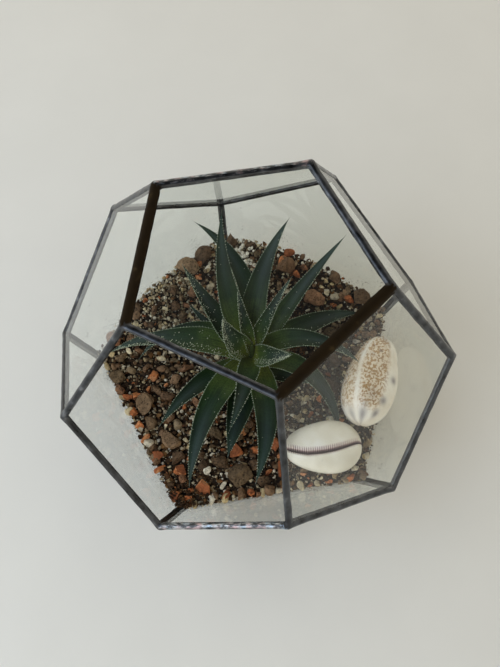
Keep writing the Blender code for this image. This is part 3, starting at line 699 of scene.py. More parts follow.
def nearness(x, y, middle, reach):
    """1.0 at a place on the ground, fading to nothing some way off; middle and reach in mm."""
    return math.exp(-((x / MM - middle[0]) ** 2 + (y / MM - middle[1]) ** 2) / reach ** 2)


def back_left(x, y):
    """The corner behind the leaves on the left, where most of the pale gravel and grit was tipped."""
    return nearness(x, y, (-66, 22), 30)


# river gravel: brown, buff and cream stones
GRAVEL = ((20, 66, 6), (26, 66, 8), (-71, -13, 5), (-71, -20, 5), (-23, -48, 7), (-52, -15, 6),
          (17, -68, 5), (-60, -60, 6), (30, 62, 5), (44, 64, 6), (-64, -30, 6), (60, -52, 6),
          (65, -44, 5), (82, -36, 6), (80, -26, 6), (88, -29, 5), (85, -17, 6), (86, -10, 6),
          (74, -29, 4), (50, -61, 5), (71, -34, 5), (-78, -34, 6), (-66, -52, 6), (-40, -78, 7),
          (-33, -74, 6), (-36, -62, 6), (16, -84, 7), (24, -82, 6), (8, -90, 5), (-30, -82, 5),
          (-14, -48, 5), (5, -64, 6), (-48, -70, 5), (-12, -80, 5), (46, -72, 7))
gravel = set_by_hand(GRAVEL, lift=0.2)
more = strew(rng, 270, (3.2, 6.6), sink=0.35, keep_off=0.55)
laid += more
shapes = stone_shapes(rng, 16, (0.55, 0.85), detail=3, breaks=9, roughness=0.12)
GRAVEL_TONES = ((0.0, "#6b5a45"), (0.15, "#937f63"), (0.35, "#bfab80"), (0.5, "#dccfae"),
                (0.62, "#7f6d53"), (0.8, "#ebe4d0"), (1.0, "#a3957a"))
buff = stone_material("cream_and_brown_river_gravel", GRAVEL_TONES, roughness=0.7, pore=1.0 * MM,
                      pore_depth=0.15 * MM, pore_shade=0.7)
gravel += more + press_to_glass(rng, 8, (3, 5))
heap("river_gravel", buff, shapes, gravel, rng, tumble=0.5, smooth=30)
more = strew(rng, 680, (1.8, 3.4), sink=0.25, keep_off=0.55)
more += strew(rng, 240, (2.0, 3.6), sink=0.0, spread=back_left, keep_off=0.45)
shapes = stone_shapes(rng, 16, (0.55, 0.85), detail=2, breaks=8, roughness=0.12)
more += press_to_glass(rng, 16, (2, 3.2))
heap("small_gravel", buff, shapes, more, rng, tumble=0.6)


def pale_patch(x, y):
    """Where the fine pale grit lies thick: all over thinly, and heaped at the back left."""
    return min(1.0, 0.35 + 0.8 * back_left(x, y) + 0.7 * nearness(x, y, (-36, 66), 15))


GRIT_TONES = ((0.0, "#4a3d2e"), (0.22, "#7b6a50"), (0.42, "#b0a080"), (0.6, "#cfc4a8"), (0.78, "#877961"),
              (1.0, "#ddd6c4"))
pale = stone_material("sharp_pale_grit", GRIT_TONES, roughness=0.65, pore=0.9 * MM,
                      pore_depth=0.06 * MM, pore_shade=0.75)
shapes = stone_shapes(rng, 16, (0.6, 0.95), detail=2, breaks=6, roughness=0.12)
coarse = strew(rng, 1350, (1.6, 3.1), sink=0.0, spread=pale_patch, keep_off=0.35)
coarse += press_to_glass(rng, 40, (1.6, 3.0))
heap("coarse_grit", pale, shapes, coarse, rng, tumble=0.9)

shapes = stone_shapes(rng, 16, (0.6, 0.95), detail=1, breaks=2, roughness=0.25)
fine = strew(rng, 3900, (0.8, 1.6), sink=-0.2, spread=pale_patch)
fine += press_to_glass(rng, 120, (0.7, 1.6))
heap("fine_grit", pale, shapes, fine, rng, tumble=0.9)

# perlite: a handful of white puffed grains by the back corner, and a few strays
PERLITE_GRAINS = 42
PERLITE_PLACE = (-38, 66)    # in mm, like the scatter
PERLITE_SCATTER = 4.5
shapes = [stone_shape(rng, detail=3, breaks=0, roughness=0.3, flatness=0.85) for _ in range(8)]
perlite = strew(rng, 8, (1.8, 3.0), sink=0.0)
for _ in range(PERLITE_GRAINS):
    spot = surface(*[rng.gauss(middle, PERLITE_SCATTER) * MM for middle in PERLITE_PLACE])
    perlite.append((spot + UP * rng.uniform(1.6, 3.4) * MM, rng.uniform(0.9, 1.6) * MM, UP))
puffed = stone_material("puffed_perlite", ((0.0, "#d3cdbd"), (1.0, "#ece8dc")), roughness=0.9,
                        pore=0.5 * MM, pore_depth=0.15 * MM, pore_shade=0.7)
heap("perlite_grains", puffed, shapes, perlite, rng, tumble=0.9, smooth=60)


def bark_spread(x, y):
    """Where bark lies: everywhere, thin on the pale patch and thick at the front corner."""
    front, middle = nearness(x, y, (1, -98), 16), nearness(x, y, (0, 0), 40)
    return min(1.0, 0.45 + front - 0.38 * back_left(x, y) + 0.3 * middle)


# bark: dark flakes and crumbs between the stones, thickest at the front corner and round the plant
shapes = stone_shapes(rng, 16, (0.25, 0.5), detail=1, breaks=3, roughness=0.3)
flakes = strew(rng, 3800, (1.0, 4.2), sink=-0.2, spread=bark_spread)
flakes += press_to_glass(rng, 150, (1.0, 3.5))
BARK_TONES = ((0.0, "#22160c"), (0.5, "#3c2918"), (0.8, "#573b22"), (1.0, "#7a5a36"))
bark = stone_material("crumbled_pine_bark", BARK_TONES, roughness=0.9, pore=0.7 * MM,
                      pore_depth=0.2 * MM, pore_shade=0.6)

# it stands up a little in the front corner, where it was poured in
CORNER = Vector((0.0, -LARGE_RING))
CORNER_CRUMBS = 1500
CORNER_HEIGHT = 22 * MM      # at the very corner, fading over
CORNER_REACH = 16 * MM
for _ in range(CORNER_CRUMBS):
    spot = surface(rng.gauss(0, 10 * MM), CORNER.y + abs(rng.gauss(0, 14 * MM)) + 6 * MM)
    if spot is not None:
        near = math.exp(-(spot.xy - CORNER).length / CORNER_REACH)
        radius = rng.uniform(0.4, 1.3) * MM
        place = spot + UP * rng.uniform(0, CORNER_HEIGHT) * near
        if room(place) > radius * 0.9:
            flakes.append((place, radius, UP))
heap("bark_flakes", bark, shapes, flakes, rng, tumble=0.7)

# ---------------------------------------------------------------- stem
# The short woody stem of the rosette: ringed with the scars of old leaves, and nearly all hidden.
stem_low, stem_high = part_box("stem")
STEM_AXIS = (stem_low + stem_high) / 2
STEM_RINGS = 26
STEM_SIDES = 28
SOIL_AT_STEM = 49 * MM       # height of the ground round it
GREEN_FROM = 66 * MM         # and where the green part begins
SCAR_RISE = 0.3 * MM
SCAR_PITCH = 1.3 * MM * math.pi


def tube_faces(rings, sides, pointed=False, first=0):
    """Faces between the points of a tube listed ring by ring, from point number first on.

    It is closed flat, or where it is pointed to the point that follows the last ring."""
    last = first + (rings - 1) * sides
    turns = [(k, (k + 1) % sides) for k in range(sides)]
    faces = [(row + a, row + b, row + b + sides, row + a + sides)
             for row in range(first, last, sides) for a, b in turns]
    faces.append(tuple(range(first + sides - 1, first - 1, -1)))
    if pointed:
        return faces + [(last + a, last + b, last + sides) for a, b in turns]
    return faces + [tuple(range(last, last + sides))]


def ringed_stem():
    """A tapering stem with a low ridge round it at each leaf scar."""
    verts = []
    for i in range(STEM_RINGS + 1):
        height = stem_low.z + (stem_high.z - stem_low.z) * i / STEM_RINGS
        taper = min(1.0, max(0.0, (height - SOIL_AT_STEM) / (stem_high.z - SOIL_AT_STEM)))
        radius = (5.8 - 5.4 * taper ** 0.6) * MM
        for k in range(STEM_SIDES):
            turn = 2 * math.pi * k / STEM_SIDES
            scar = SCAR_RISE * abs(math.sin(math.pi * height / SCAR_PITCH + 0.6 * math.sin(2 * turn)))
            out = radius + scar
            verts.append((STEM_AXIS.x + out * math.cos(turn), STEM_AXIS.y + out * math.sin(turn), height))
    mesh = bpy.data.meshes.new("leaf_stem")
    mesh.from_pydata(verts, [], tube_faces(STEM_RINGS + 1, STEM_SIDES))
    return mesh


def green_stem():
    """Young succulent stem: yellow-green and waxy, browner towards the soil."""
    skin = new_material("succulent_stem_skin")
    where = add(skin, "TexCoord").outputs["Object"]
    height = add(skin, "SeparateXYZ", {0: where}).outputs["Z"]
    rise = add(skin, "MapRange", {0: height, 1: SOIL_AT_STEM, 2: GREEN_FROM})
    tone = add(skin, "ValToRGB", {0: rise}, stops=((0.0, "#5a4a2c"), (0.4, "#56642a"), (1.0, "#37471d")))
    fibres = add(skin, "TexNoise", {"Vector": where, "Scale": 1 / (1.5 * MM), "Detail": 4.0})
    bumps = add(skin, "Bump", {"Height": fibres, "Strength": 0.4, "Distance": 0.2 * MM})
    shader = add(skin, "BsdfPrincipled", {"Base Color": tone, "Roughness": 0.5, "Normal": bumps})
    return finish_material(skin, shader)


stem = to_object("leaf_stem", ringed_stem(), green_stem())
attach(stem, "root")
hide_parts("stem")

# ---------------------------------------------------------------- leaves
# Thick tapering succulent leaves in a rosette: channelled above, keeled below, with a row of small
# white teeth on each margin and white warts, thickest on the young leaves.

# Each leaves the stem at height (mm above the table) towards azimuth, climbing at rise; over its
# length the climb changes by arch and the azimuth by sweep.  Degrees and millimetres.  cup is how
# deep it is channelled, warts how many it bears per 100 mm2, taper how full its point is, and
# roll how far it is turned about its own length.
LEAF_COLUMNS = ("azimuth", "rise", "arch", "sweep", "length", "width", "thickness", "height", "cup",
                "warts", "taper", "roll")
LEAVES = {
    # low whorl, arching over the dressing
    "leaf_01": (-4, 24, -18, 18, 48, 12, 4.0, 51.2, 0.25, 2, 1.2, 0),
    "leaf_02": (-76, 24, -25, 0, 64, 17, 4.0, 51.5, 0.25, 1, 1.6, 0),
    "leaf_03": (168, 16, -4, -8, 53, 10, 3.5, 50.8, 0.30, 1, 1.1, 0),
    "leaf_04": (-108, 31, -62, 40, 90, 15, 4.5, 60.2, 0.25, 2, 1.35, 0),
    "leaf_05": (-131, 28, -32, 36, 72, 13, 4.0, 54.0, 0.25, 2, 1.3, 0),
    "leaf_06": (-163, 46, -99, 12, 96, 16, 4.5, 62.0, 0.30, 38, 0.85, 0),
    "leaf_07": (153, 31, -66, 103, 81, 12, 4.0, 55.4, 0.30, 1, 0.9, 0),
    "leaf_08": (-40, 36, -52, -43, 84, 16, 4.5, 56.8, 0.30, 1, 1.4, 0),
    "leaf_09": (27, 46, -97, -84, 82, 13, 4.0, 53.2, 0.30, 1, 1.1, 0),
    "leaf_10": (45, 57, -90, -52, 72, 13, 4.0, 64.0, 0.30, 7, 1.2, 0),
    "leaf_11": (66, 29, -60, -23, 80, 16, 4.0, 50.8, 0.30, 4, 1.3, 0),
    # middle whorl, standing up behind
    "leaf_12": (104, 37, -38, 68, 98, 12, 4.0, 52.6, 0.35, 1, 1.8, 0),
    "leaf_13": (168, 40, -2, -12, 71, 15, 3.5, 59, 0.35, 22, 1.0, 0),
    "leaf_14": (77, 41, -13, -9, 92, 11, 4.5, 57.0, 0.35, 2, 1.2, 0),
    "leaf_15": (122, 42, -6, -47, 86, 15, 4.5, 61.0, 0.35, 1, 1.25, 0),
    "leaf_16": (154, 43, -6, -44, 87, 14, 4.5, 66.0, 0.35, 1, 1.1, 0),
    "leaf_17": (-69, 45, -44, -14, 62, 13, 4.0, 64.0, 0.40, 1, 1.02, 0),
    # young leaves in the middle
    "leaf_18": (79, 69, -11, -16, 65, 9, 3.5, 65.0, 0.60, 26, 1.1, 0),
    "leaf_19": (-23, 57, 1, 11, 54, 13, 3.5, 66.0, 0.3, 75, 1.2, 50),
    "leaf_20": (218, 60, 27, -8, 57, 14, 3.5, 66.0, 0.25, 75, 1.1, -55),
    "leaf_21": (152, 69, 9, -10, 55, 8, 3.0, 70.0, 0.60, 26, 1.1, 0),
}
LEAF_STATIONS = 56
LEAF_ACROSS = 9              # points across the upper face, and as many below
LEAF_FULLEST = 0.36          # share of its length at which it is broadest
MARGIN = 0.30 * MM           # thickness of its edge
TOOTH_PITCH = 1.9 * MM
TOOTH_HEIGHT = 0.55 * MM
TOOTH_RADIUS = 0.24 * MM
TOOTH_SIDES = 4
WART_RADII = (0.15, 0.28)    # in mm
WART_SIDES = 6
YOUNG_WART = 1.25            # how much wider the warts of the warty leaves are


def leaf_breadth(share, taper):
    """Breadth at a share of the length: a clasping foot, fullest at a third, then a long point."""
    if share < LEAF_FULLEST:
        return 0.72 + 0.28 * math.sin(share / LEAF_FULLEST * math.pi / 2)
    run = (share - LEAF_FULLEST) / (1 - LEAF_FULLEST)
    return 1.0 - run ** taper if taper > 1 else (1.0 - run) ** (2 - taper)


def leaf_depth(share):
    """Thickness at a share of the length."""
    return min(1.0, 0.5 + 2 * share) * (1.0 - 0.93 * share ** 1.8)


def leaf_course(leaf, rng):
    """Stations along a leaf: (point, across, up out of its face, share of its length)."""
    spot = Vector((STEM_AXIS.x, STEM_AXIS.y, leaf["height"] * MM))
    steps = LEAF_STATIONS * 3
    stride = leaf["length"] * MM / steps
    wobble = rng.uniform(0, 99)
    course = []
    for index in range(steps + 1):
        share = (index + 0.5) / steps
        climb = math.radians(leaf["rise"] + leaf["arch"] * share)
        heading = math.radians(leaf["azimuth"] + leaf["sweep"] * share)
        level = Vector((math.cos(heading), math.sin(heading), 0.0))
        along = level * math.cos(climb) + UP * math.sin(climb)
        face = UP * math.cos(climb) - level * math.sin(climb)
        roll = math.radians(leaf["roll"] + 5 * noise.noise(Vector((wobble, 2.2 * share, 0))))
        turned = Matrix.Rotation(roll, 3, along) @ face
        if index % 3 == 0:
            course.append((spot.copy(), along.cross(turned), turned, index / steps))
        spot = spot + along * stride
    return course


def leaf_point(leaf, station, s, under):
    """The point of a leaf at s, from -1 to 1 across it, on its upper or its under side."""
    spot, across_it, face, share = station
    half = leaf["width"] / 2 * MM * leaf_breadth(share, leaf["taper"])
    deep = leaf["thickness"] * MM * leaf_depth(share)
    cup = leaf["cup"] * (1 - 0.55 * share)
    height = cup * half * abs(s) ** 1.7
    if under:
        keel = 1 - 0.35 * max(0.0, share - 0.45) * abs(s)
        height -= (MARGIN + deep * (1 - s * s) ** 0.62 * keel) * min(1.0, 14 * (1 - share) + 0.15)
    narrowed = half * (1 - 0.12 * cup * s * s)
    return spot + across_it * (s * narrowed) + face * height


def add_spike(leaf, foot, out, height, radius, sides, blunt, pale):
    """A small pointed tooth, or with blunt a low dome, on a leaf given as (points, faces, marks)."""
    verts, faces, marks = leaf
    aside = out.orthogonal().normalized()
    other = out.cross(aside)
    start = len(verts)
    levels = ((1.0, -0.2), (0.75, 0.62)) if blunt else ((1.0, -0.4),)
    for wide, up in levels:
        for k in range(sides):
            turn = 2 * math.pi * k / sides
            verts.append(foot + (aside * math.cos(turn) + other * math.sin(turn)) * radius * wide
                         + out * height * up)
    verts.append(foot + out * height)
    faces.extend(tube_faces(len(levels), sides, True, start))
    marks.extend([(0.0, 0.0, pale)] * (len(verts) - start))


def marked_mesh(name, verts, faces, marks):
    """A mesh whose points each carry three numbers for its material to read."""
    mesh = bpy.data.meshes.new(name)
    mesh.from_pydata(verts, [], faces)
    layer = mesh.attributes.new("marks", "FLOAT_VECTOR", "POINT")
    layer.data.foreach_set("vector", [value for mark in marks for value in mark])
    return mesh


def add_teeth(blade, leaf, course, rng):
    """Teeth along both margins, smaller towards the foot and the tip."""
    pitch = TOOTH_PITCH * (0.75 + 0.25 * leaf["width"] / 15)
    for side in (-1, 1):
        travelled = rng.uniform(0, pitch)
        for here, after in zip(course[4:-2], course[5:-1]):
            travelled += (after[0] - here[0]).length
            if travelled < pitch:
                continue
            travelled -= pitch * rng.uniform(0.85, 1.15)
            edge = leaf_point(leaf, here, side, False) - here[2] * MARGIN / 2
            out = (here[1] * side + (after[0] - here[0]).normalized() * 0.35 + here[2] * 0.2).normalized()
            size = TOOTH_HEIGHT * rng.uniform(0.7, 1.15)
            size *= min(1.0, 0.45 + 1.6 * math.sin(math.pi * here[3]))
            add_spike(blade, edge, out, size, TOOTH_RADIUS, TOOTH_SIDES, blunt=False, pale=0.9)


def add_warts(blade, leaf, course, rng):
    """Warts on both faces, most of them on the half towards the front."""
    area = leaf["length"] * leaf["width"] * 0.6
    for number in range(int(area * leaf["warts"] / 100)):
        under = number % 3 == 0
        at = rng.randrange(5, len(course) - 4)
        part = rng.random()
        here = [before.lerp(after, part) for before, after in zip(course[at][:3], course[at + 1][:3])]
        here.append(course[at][3])
        front = -1 if here[1].y > 0 else 1
        s = front * rng.uniform(0.3, 0.88) if rng.random() < 0.75 else rng.uniform(-0.85, 0.85)
        foot = leaf_point(leaf, here, s, under)
        out = here[2] * (-1 if under else 1)
        out = (out + here[1] * (s * (0.9 if under else -0.35 * leaf["cup"]))).normalized()
        size = rng.uniform(*WART_RADII) * MM * (1.0 if leaf["warts"] < 10 else YOUNG_WART)
        add_spike(blade, foot, out, size * 0.6, size, WART_SIDES, blunt=True, pale=0.6)


def build_leaf(name, leaf, material, rng):
    """A leaf with its teeth and warts as one mesh; marks say how far along, across and how pale."""
    course = leaf_course(leaf, rng)
    verts, marks = [], []
    shares = [-math.cos(math.pi * (k + 0.5) / LEAF_ACROSS) for k in range(LEAF_ACROSS)]
    shares = [s / shares[-1] for s in shares]
    ring = [(s, False) for s in shares] + [(s, True) for s in reversed(shares)]
    for station in course[:-1]:
        for s, under in ring:
            verts.append(leaf_point(leaf, station, s, under))
            marks.append((station[3], abs(s), 0.0))
    end = course[-1][0]
    verts.append(end + (end - course[-3][0]) * 0.6)
    marks.append((1.0, 1.0, 0.4))
    blade = (verts, tube_faces(len(course) - 1, len(ring), True), marks)
    add_teeth(blade, leaf, course, rng)
    add_warts(blade, leaf, course, rng)
    return to_object(name, marked_mesh(name, *blade), material)


def leaf_skin():
    """Succulent leaf skin: waxy dark green with a painted blue-grey sheen down the middle, yellow-green
    towards the foot, with a pale horny margin and white teeth and warts."""
    skin = new_material("waxy_succulent_leaf")
    marks = add(skin, "Attribute", attribute_name="marks").outputs["Vector"]
    along, aside, white = add(skin, "SeparateXYZ", {0: marks}).outputs
    where = add(skin, "TexCoord").outputs["Object"]
    cloud = add(skin, "TexNoise", {"Vector": where, "Scale": 1 / (9 * MM), "Detail": 4.0})
    shifted = add(skin, "Math", {0: cloud, 1: 0.22, 2: along}, operation="MULTIPLY_ADD")
    ripe = add(skin, "ValToRGB", {0: shifted}, stops=((0.20, "#737d2e"), (0.36, "#46592a"),
                                                      (0.54, "#20351a"), (0.76, "#152416"),
                                                      (1.0, "#24352a")))
    veins = add(skin, "TexNoise", {"Vector": where, "Scale": 1 / (0.9 * MM), "Detail": 5.0})
    shade = add(skin, "MapRange", {0: veins, 1: 0.3, 2: 0.7, 3: 0.70, 4: 1.25})
    # faint darker lines run the length of the leaf, differently on each
    own = add(skin, "ObjectInfo").outputs["Random"]
    apart = add(skin, "CombineXYZ", {2: own})
    spread = add(skin, "VectorMath", {0: apart, 1: (0.0, 0.0, 60.0)}, operation="MULTIPLY")
    drawn = add(skin, "VectorMath", {0: marks, 1: (3.5, 16.0, 0.0), 2: spread}, operation="MULTIPLY_ADD")
    fibres = add(skin, "TexNoise", {"Vector": drawn, "Scale": 1.0, "Detail": 3.0})
    lined = add(skin, "MapRange", {0: fibres, 1: 0.3, 2: 0.7, 3: 0.62, 4: 1.25})
    lines = add(skin, "Math", {0: shade, 1: lined}, operation="MULTIPLY")
    green = add(skin, "Mix", {0: 1.0, 6: ripe, 7: lines}, data_type="RGBA", blend_type="MULTIPLY")
    # a thin painted blue-grey sheen lies down the middle: a painted highlight where the channel reflects
    # the sky
    middle = add(skin, "MapRange", {0: aside, 1: 0.8, 2: 0.0, 3: 0.0, 4: 0.09})
    thick = add(skin, "MapRange", {0: along, 1: 0.25, 2: 0.6, 3: 0.0, 4: 1.0})
    waxed = add(skin, "Math", {0: middle, 1: thick}, operation="MULTIPLY")
    green_with_painted_sheen = add(skin, "Mix", {0: waxed, 6: green, 7: colour("#8197a0")}, data_type="RGBA")
    edge = add(skin, "MapRange", {0: aside, 1: 0.93, 2: 1.0, 3: 0.0, 4: 0.75})
    rimmed = add(skin, "Mix", {0: edge, 6: green_with_painted_sheen, 7: colour("#8ea286")}, data_type="RGBA")
    dotted = add(skin, "Mix", {0: white, 6: rimmed, 7: colour("#d9dfd2")}, data_type="RGBA")
    wax = add(skin, "MapRange", {0: cloud, 1: 0.3, 2: 0.7, 3: 0.30, 4: 0.46})
    bumps = add(skin, "Bump", {"Height": veins, "Strength": 0.25, "Distance": 0.12 * MM})
    shader = add(skin, "BsdfPrincipled", {"Base Color": dotted, "Roughness": wax, "Normal": bumps,
                                          "Specular IOR Level": 0.15})
    return finish_material(skin, shader)


skin = leaf_skin()
rng = random.Random(21)
for name, row in LEAVES.items():
    blade = build_leaf(name.replace("leaf", "blade"), dict(zip(LEAF_COLUMNS, row)), skin, rng)
    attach(blade, "root")
    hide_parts(name)

# ---------------------------------------------------------------- cowries
# Two sea-shell cowries laid on the grit: a white one on its back, with its toothed mouth up, and a
# spotted one leaning on the glass.  Each is one polished egg of shell with the lips rolled in.
SHELL_BACK = 0.62            # share of the height that lies above the widest line
SHELL_BLUNT = 0.20           # how much fuller a shell is towards its blunt end
SHELL_RINGS = 170
SHELL_SIDES = 112
CROWDING = 0.55              # how much closer the points stand at the mouth than on the back
TOOTH_SPACING = 1.2 * MM
MOUTH_DEPTH = 3.6 * MM


def mouth_cut_and_shade(x, y, end, girth):
    """How far the mouth is cut into the under side at (x, y), and how much painted shade darkens it
    there, down the slit and between the teeth.
    """
    slit = (5.0 - 2.2 * end - 4.3 * end * end) * MM
    off = (y - slit * min(1.0, girth * 1.2)) / MM
    long_side = 0.9 if off > 0 else 0.55
    off = abs(off)
    fade = 1 - soft_step(abs(end), 0.985, 1.0)
    lip = math.exp(-((off - 2.6) / 1.5) ** 2)
    ridges = 0.5 + 0.5 * math.cos(2 * math.pi * x / TOOTH_SPACING)
    reach = soft_step(off, 0.2, 0.5) * (1 - soft_step(off * long_side, 1.0, 2.0))
    run = 1 - 0.5 * soft_step(end, 0.3, 0.7) - 0.5 * soft_step(abs(end), 0.84, 0.94)
    teeth = (1 - ridges) * reach * run
    sunk = MOUTH_DEPTH * math.exp(-(off / 0.6) ** 2) * fade
    sunk += 0.4 * MM * teeth - 0.45 * MM * lip * fade
    # the second number is painted shade: darkest down the slit, and in the gaps between the teeth
    return sunk * min(1.0, girth * 1.6), min(1.0, math.exp(-(off / 0.75) ** 2) + 0.75 * teeth)


def speckle_at(end, degrees):
    """How thickly the back is speckled, on both sides of a pale line from end to end."""
    line = -7 + 6 * math.sin(2.6 * end)
    round_it = soft_step(abs(degrees - line), 2, 9)
    round_it *= (1 - soft_step(degrees, 46, 64)) * (1 - soft_step(-degrees, 48, 76))
    along_it = (1 - soft_step(-end, 0.84, 0.98)) * (1 - soft_step(end, 0.62, 0.86))
    return round_it * along_it * (1.0 if degrees > line else 0.8)


def cowrie(name, material, length, width, height, spots=()):
    """A cowrie, blunt end at +X and back up.  Its marks are (mouth, speckle, blotch) for the skin, mouth
    being painted shade down the slit and between the teeth.
    """
    verts, marks = [], []
    for i in range(SHELL_RINGS + 1):
        turn = math.pi * (0.008 + 0.984 * i / SHELL_RINGS)
        x = -0.5 * length * math.cos(turn)
        end = 2 * x / length
        girth = math.sin(turn) ** 0.85 * (1.0 - SHELL_BLUNT * math.sin(turn) * math.cos(turn))
        for k in range(SHELL_SIDES):
            even = 2 * math.pi * k / SHELL_SIDES - math.pi / 2
            angle = even - CROWDING * math.sin(even + math.pi / 2)
            y = 0.5 * width * girth * math.cos(angle)
            up = math.sin(angle)
            sunk, mouth = mouth_cut_and_shade(x, y, end, girth) if up < 0 else (0.0, 0.0)
            z = (SHELL_BACK if up > 0 else 1 - SHELL_BACK) * height * girth * up + sunk
            ripple = 0.12 * MM * noise.noise(Vector((x, y, z)) / (9 * MM))
            verts.append((x, y + ripple, z + ripple))
            degrees = math.degrees(math.atan2(y / width * 2, up * max(girth, 0.05)))
            blotch = 0.0
            for place, round_at, size, strength in spots:
                away = math.hypot((end - place) * length / 2,
                                  math.radians(degrees - round_at) * width / 2)
                blotch = max(blotch, strength * math.exp(-(away / (size * MM / 2)) ** 2))
            marks.append((mouth, speckle_at(end, degrees), blotch))
    faces = tube_faces(SHELL_RINGS + 1, SHELL_SIDES)
    return to_object(name, marked_mesh(name, verts, faces, marks), material)


def lay_shell(piece, node, turn):
    """Turn a shell as its solid lies, and bring the middles of their boxes together."""
    piece.rotation_euler = [math.radians(angle) for angle in turn]
    bpy.context.view_layer.update()
    spots = [piece.matrix_world @ vert.co for vert in piece.data.vertices]
    low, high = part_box(node)
    for axis in range(3):
        values = [spot[axis] for spot in spots]
        piece.location[axis] += (low[axis] + high[axis]) / 2 - (min(values) + max(values)) / 2
    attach(piece, "root")
    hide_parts(node)


def ivory_shell():
    """Old white shell enamel: ivory, softly polished, with a mouth between pale teeth whose mauve-brown
    is partly the shell's own tint and partly painted shade, near black down the slit.
    """
    enamel = new_material("worn_ivory_shell_enamel")
    where = add(enamel, "TexCoord").outputs["Object"]
    marks = add(enamel, "Attribute", attribute_name="marks").outputs["Vector"]
    mouth = add(enamel, "SeparateXYZ", {0: marks}).outputs[0]
    cloud = add(enamel, "TexNoise", {"Vector": where, "Scale": 1 / (11 * MM), "Detail": 5.0})
    ivory = add(enamel, "ValToRGB", {0: cloud}, stops=((0.32, "#e6dfcd"), (0.55, "#f2eddf"),
                                                       (0.72, "#f9f6ee")))
    # painted shade: mauve to near black down the slit and between the teeth, partly the shell's own mauve
    # tint
    inside = add(enamel, "ValToRGB", {0: mouth}, stops=((0.0, 1.0), (0.35, "#cdbcc0"), (0.7, "#957a86"),
                                                        (1.0, "#46302f")))
    tone = add(enamel, "Mix", {0: 1.0, 6: ivory, 7: inside}, data_type="RGBA", blend_type="MULTIPLY")
    shader = add(enamel, "BsdfPrincipled", {"Base Color": tone, "Roughness": 0.28, "Coat Weight": 0.3,
                                            "Coat Roughness": 0.12})
    return finish_material(enamel, shader)


def spotted_shell():
    """Polished cowrie back: cream, with a net of gold-brown specks on both sides of a pale line,
    scattered darker freckles, and blue-grey blotches towards the margin."""
    enamel = new_material("polished_spotted_shell")
    where = add(enamel, "TexCoord").outputs["Object"]
    marks = add(enamel, "Attribute", attribute_name="marks").outputs["Vector"]
    mouth, speckle, blotch = add(enamel, "SeparateXYZ", {0: marks}).outputs
    cloud = add(enamel, "TexNoise", {"Vector": where, "Scale": 1 / (12 * MM), "Detail": 3.0})
    base = add(enamel, "ValToRGB", {0: cloud}, stops=((0.35, "#e4d9c6"), (0.65, "#f4efe4")))
    # short crowded strokes of gold-brown about 1 mm wide
    strokes = add(enamel, "TexNoise", {"Vector": where, "Scale": 1 / (1.35 * MM), "Detail": 2.5,
                                       "Distortion": 0.6})
    inked = add(enamel, "MapRange", {0: strokes, 1: 0.46, 2: 0.55, 3: 0.0, 4: 0.9})
    density = add(enamel, "Math", {0: inked, 1: speckle}, operation="MULTIPLY")
    tan = add(enamel, "ValToRGB", {0: cloud}, stops=((0.3, "#966a2d"), (0.5, "#ac803c"), (0.7, "#885b2d")))
    veil = add(enamel, "Math", {0: speckle, 1: 0.3}, operation="MULTIPLY")
    warm = add(enamel, "Mix", {0: veil, 6: base, 7: colour("#d8bb90")}, data_type="RGBA")
    specked = add(enamel, "Mix", {0: density, 6: warm, 7: tan}, data_type="RGBA")
    freckles = add(enamel, "TexVoronoi", {"Vector": where, "Scale": 1 / (7.5 * MM)})
    dark = add(enamel, "MapRange", {0: freckles.outputs["Distance"], 1: 0.10, 2: 0.20, 3: 0.75, 4: 0.0})
    some = add(enamel, "Math", {0: dark, 1: speckle}, operation="MULTIPLY")
    freckled = add(enamel, "Mix", {0: some, 6: specked, 7: colour("#6d4c33")}, data_type="RGBA")
    grey = add(enamel, "Math", {0: blotch, 1: 0.8}, operation="MULTIPLY")
    blotched = add(enamel, "Mix", {0: grey, 6: freckled, 7: colour("#554a58")}, data_type="RGBA")
    # painted shade: the mouth mark darkens the slit to brown
    inner = add(enamel, "Mix", {0: mouth, 6: blotched, 7: colour("#8a5a3a")}, data_type="RGBA")
    shader = add(enamel, "BsdfPrincipled", {"Base Color": inner, "Roughness": 0.25, "Coat Weight": 0.5,
                                            "Coat Roughness": 0.12})
    return finish_material(enamel, shader)


# grey blotches on the spotted one: (place from -1 to 1 along it, degrees round, size in mm, strength)
BLOTCHES = ((-0.45, 95, 3.5, 0.9), (0.03, 74, 4.5, 1.0), (0.53, 62, 4.5, 1.0), (0.80, 60, 4.5, 1.0),
            (0.88, 22, 7, 0.9), (0.9, -20, 7, 0.6), (0.5, 34, 8, 0.3), (-0.95, 40, 9, 0.5),
            (0.12, -38, 2.5, 0.7), (0.72, 22, 6, 0.45), (-0.4, 12, 3.0, 0.4))
white = cowrie("white_cowrie", ivory_shell(), length=43 * MM, width=30 * MM, height=22 * MM)
lay_shell(white, "cowrie_white", (180, 0, 29))
spotted = cowrie("spotted_cowrie", spotted_shell(), length=56 * MM, width=31 * MM, height=26 * MM,
                 spots=BLOTCHES)
lay_shell(spotted, "cowrie_spotted", (26, 0, -80))

# ---------------------------------------------------------------- table, daylight and camera
# The case stands on a pale satin-painted table top by a large window at the left, in a pale room.
# These only show the object: they are no part of it.
floor_mesh = bmesh.new()
bmesh.ops.create_grid(floor_mesh, x_segments=2, y_segments=2, size=4.0)


def painted_top():
    """Satin paint on board: pale warm grey, with the faint mottle of a rolled coat."""
    paint = new_material("satin_painted_table_top")
    where = add(paint, "TexCoord").outputs["Object"]
    mottle = add(paint, "TexNoise", {"Vector": where, "Scale": 1 / (60 * MM), "Detail": 3.0})
    tone = add(paint, "ValToRGB", {0: mottle}, stops=((0.3, "#ebebe6"), (0.7, "#eeeee9")))
    shader = add(paint, "BsdfPrincipled", {"Base Color": tone, "Roughness": 0.55})
    return finish_material(paint, shader)


floor = to_object("table_top", floor_mesh, painted_top(), smooth=False)

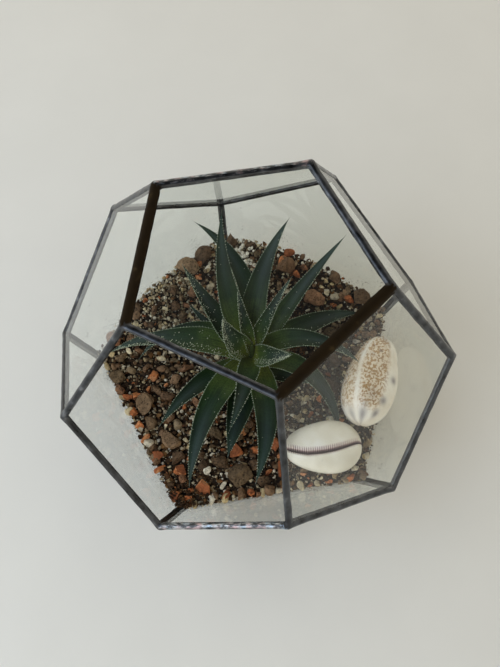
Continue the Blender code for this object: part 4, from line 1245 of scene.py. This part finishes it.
world = bpy.data.worlds.new("pale_room")
bpy.context.scene.world = world
world.use_nodes = True
world.node_tree.nodes.clear()
skyward = add(world, "TexCoord").outputs["Generated"]
tilt = add(world, "SeparateXYZ", {0: skyward})
walls = add(world, "ValToRGB", {0: tilt.outputs["Z"]}, stops=((0.0, "#fff6e4"), (0.62, "#fff6e4"),
                                                              (0.80, "#4d4a45"), (1.0, "#3d3b38")))
air = add(world, "Background", {"Color": walls, "Strength": 1.05})
add(world, "OutputWorld", {"Surface": air})

WINDOW_DISTANCE = 1.1        # from the middle of the case, in metres
WINDOW_AZIMUTH = math.radians(230)
WINDOW_ELEVATION = math.radians(42)
WINDOW_SIZE = (1.3, 1.0)
WINDOW_POWER = 7.7           # watts
WINDOW_COLOUR = "#d6e8ff"
window_light = bpy.data.lights.new("window", "AREA")
window_light.shape = "RECTANGLE"
window_light.size, window_light.size_y = WINDOW_SIZE
window_light.energy = WINDOW_POWER
window_light.color = colour(WINDOW_COLOUR)[:3]
window = bpy.data.objects.new("window", window_light)
bpy.context.scene.collection.objects.link(window)
level = math.cos(WINDOW_ELEVATION)
window.location = CENTRE + WINDOW_DISTANCE * Vector((level * math.cos(WINDOW_AZIMUTH),
                                                     level * math.sin(WINDOW_AZIMUTH),
                                                     math.sin(WINDOW_ELEVATION)))
window.rotation_euler = (CENTRE - window.location).to_track_quat("-Z", "Y").to_euler()

CAMERA_PLACE = Vector((0.09531, -0.20380, 0.58181))
CAMERA_AIM = Vector((-0.0031, 0.0060, 0.09008))
CAMERA_ROLL = 0.0223
FOCAL_LENGTH = 52.24         # in mm, on a sensor this wide
SENSOR_WIDTH = 36.0
NEAREST_SEEN = 0.01
lens = bpy.data.cameras.new("camera")
lens.lens = FOCAL_LENGTH
lens.sensor_width = SENSOR_WIDTH
lens.clip_start = NEAREST_SEEN
camera = bpy.data.objects.new("camera", lens)
bpy.context.scene.collection.objects.link(camera)
camera.location = CAMERA_PLACE
aim = (CAMERA_AIM - CAMERA_PLACE).to_track_quat("-Z", "Y").to_matrix()
camera.rotation_euler = (aim @ Matrix.Rotation(CAMERA_ROLL, 3, "Z")).to_euler()
bpy.context.scene.camera = camera
bpy.context.scene.view_settings.view_transform = "Standard"
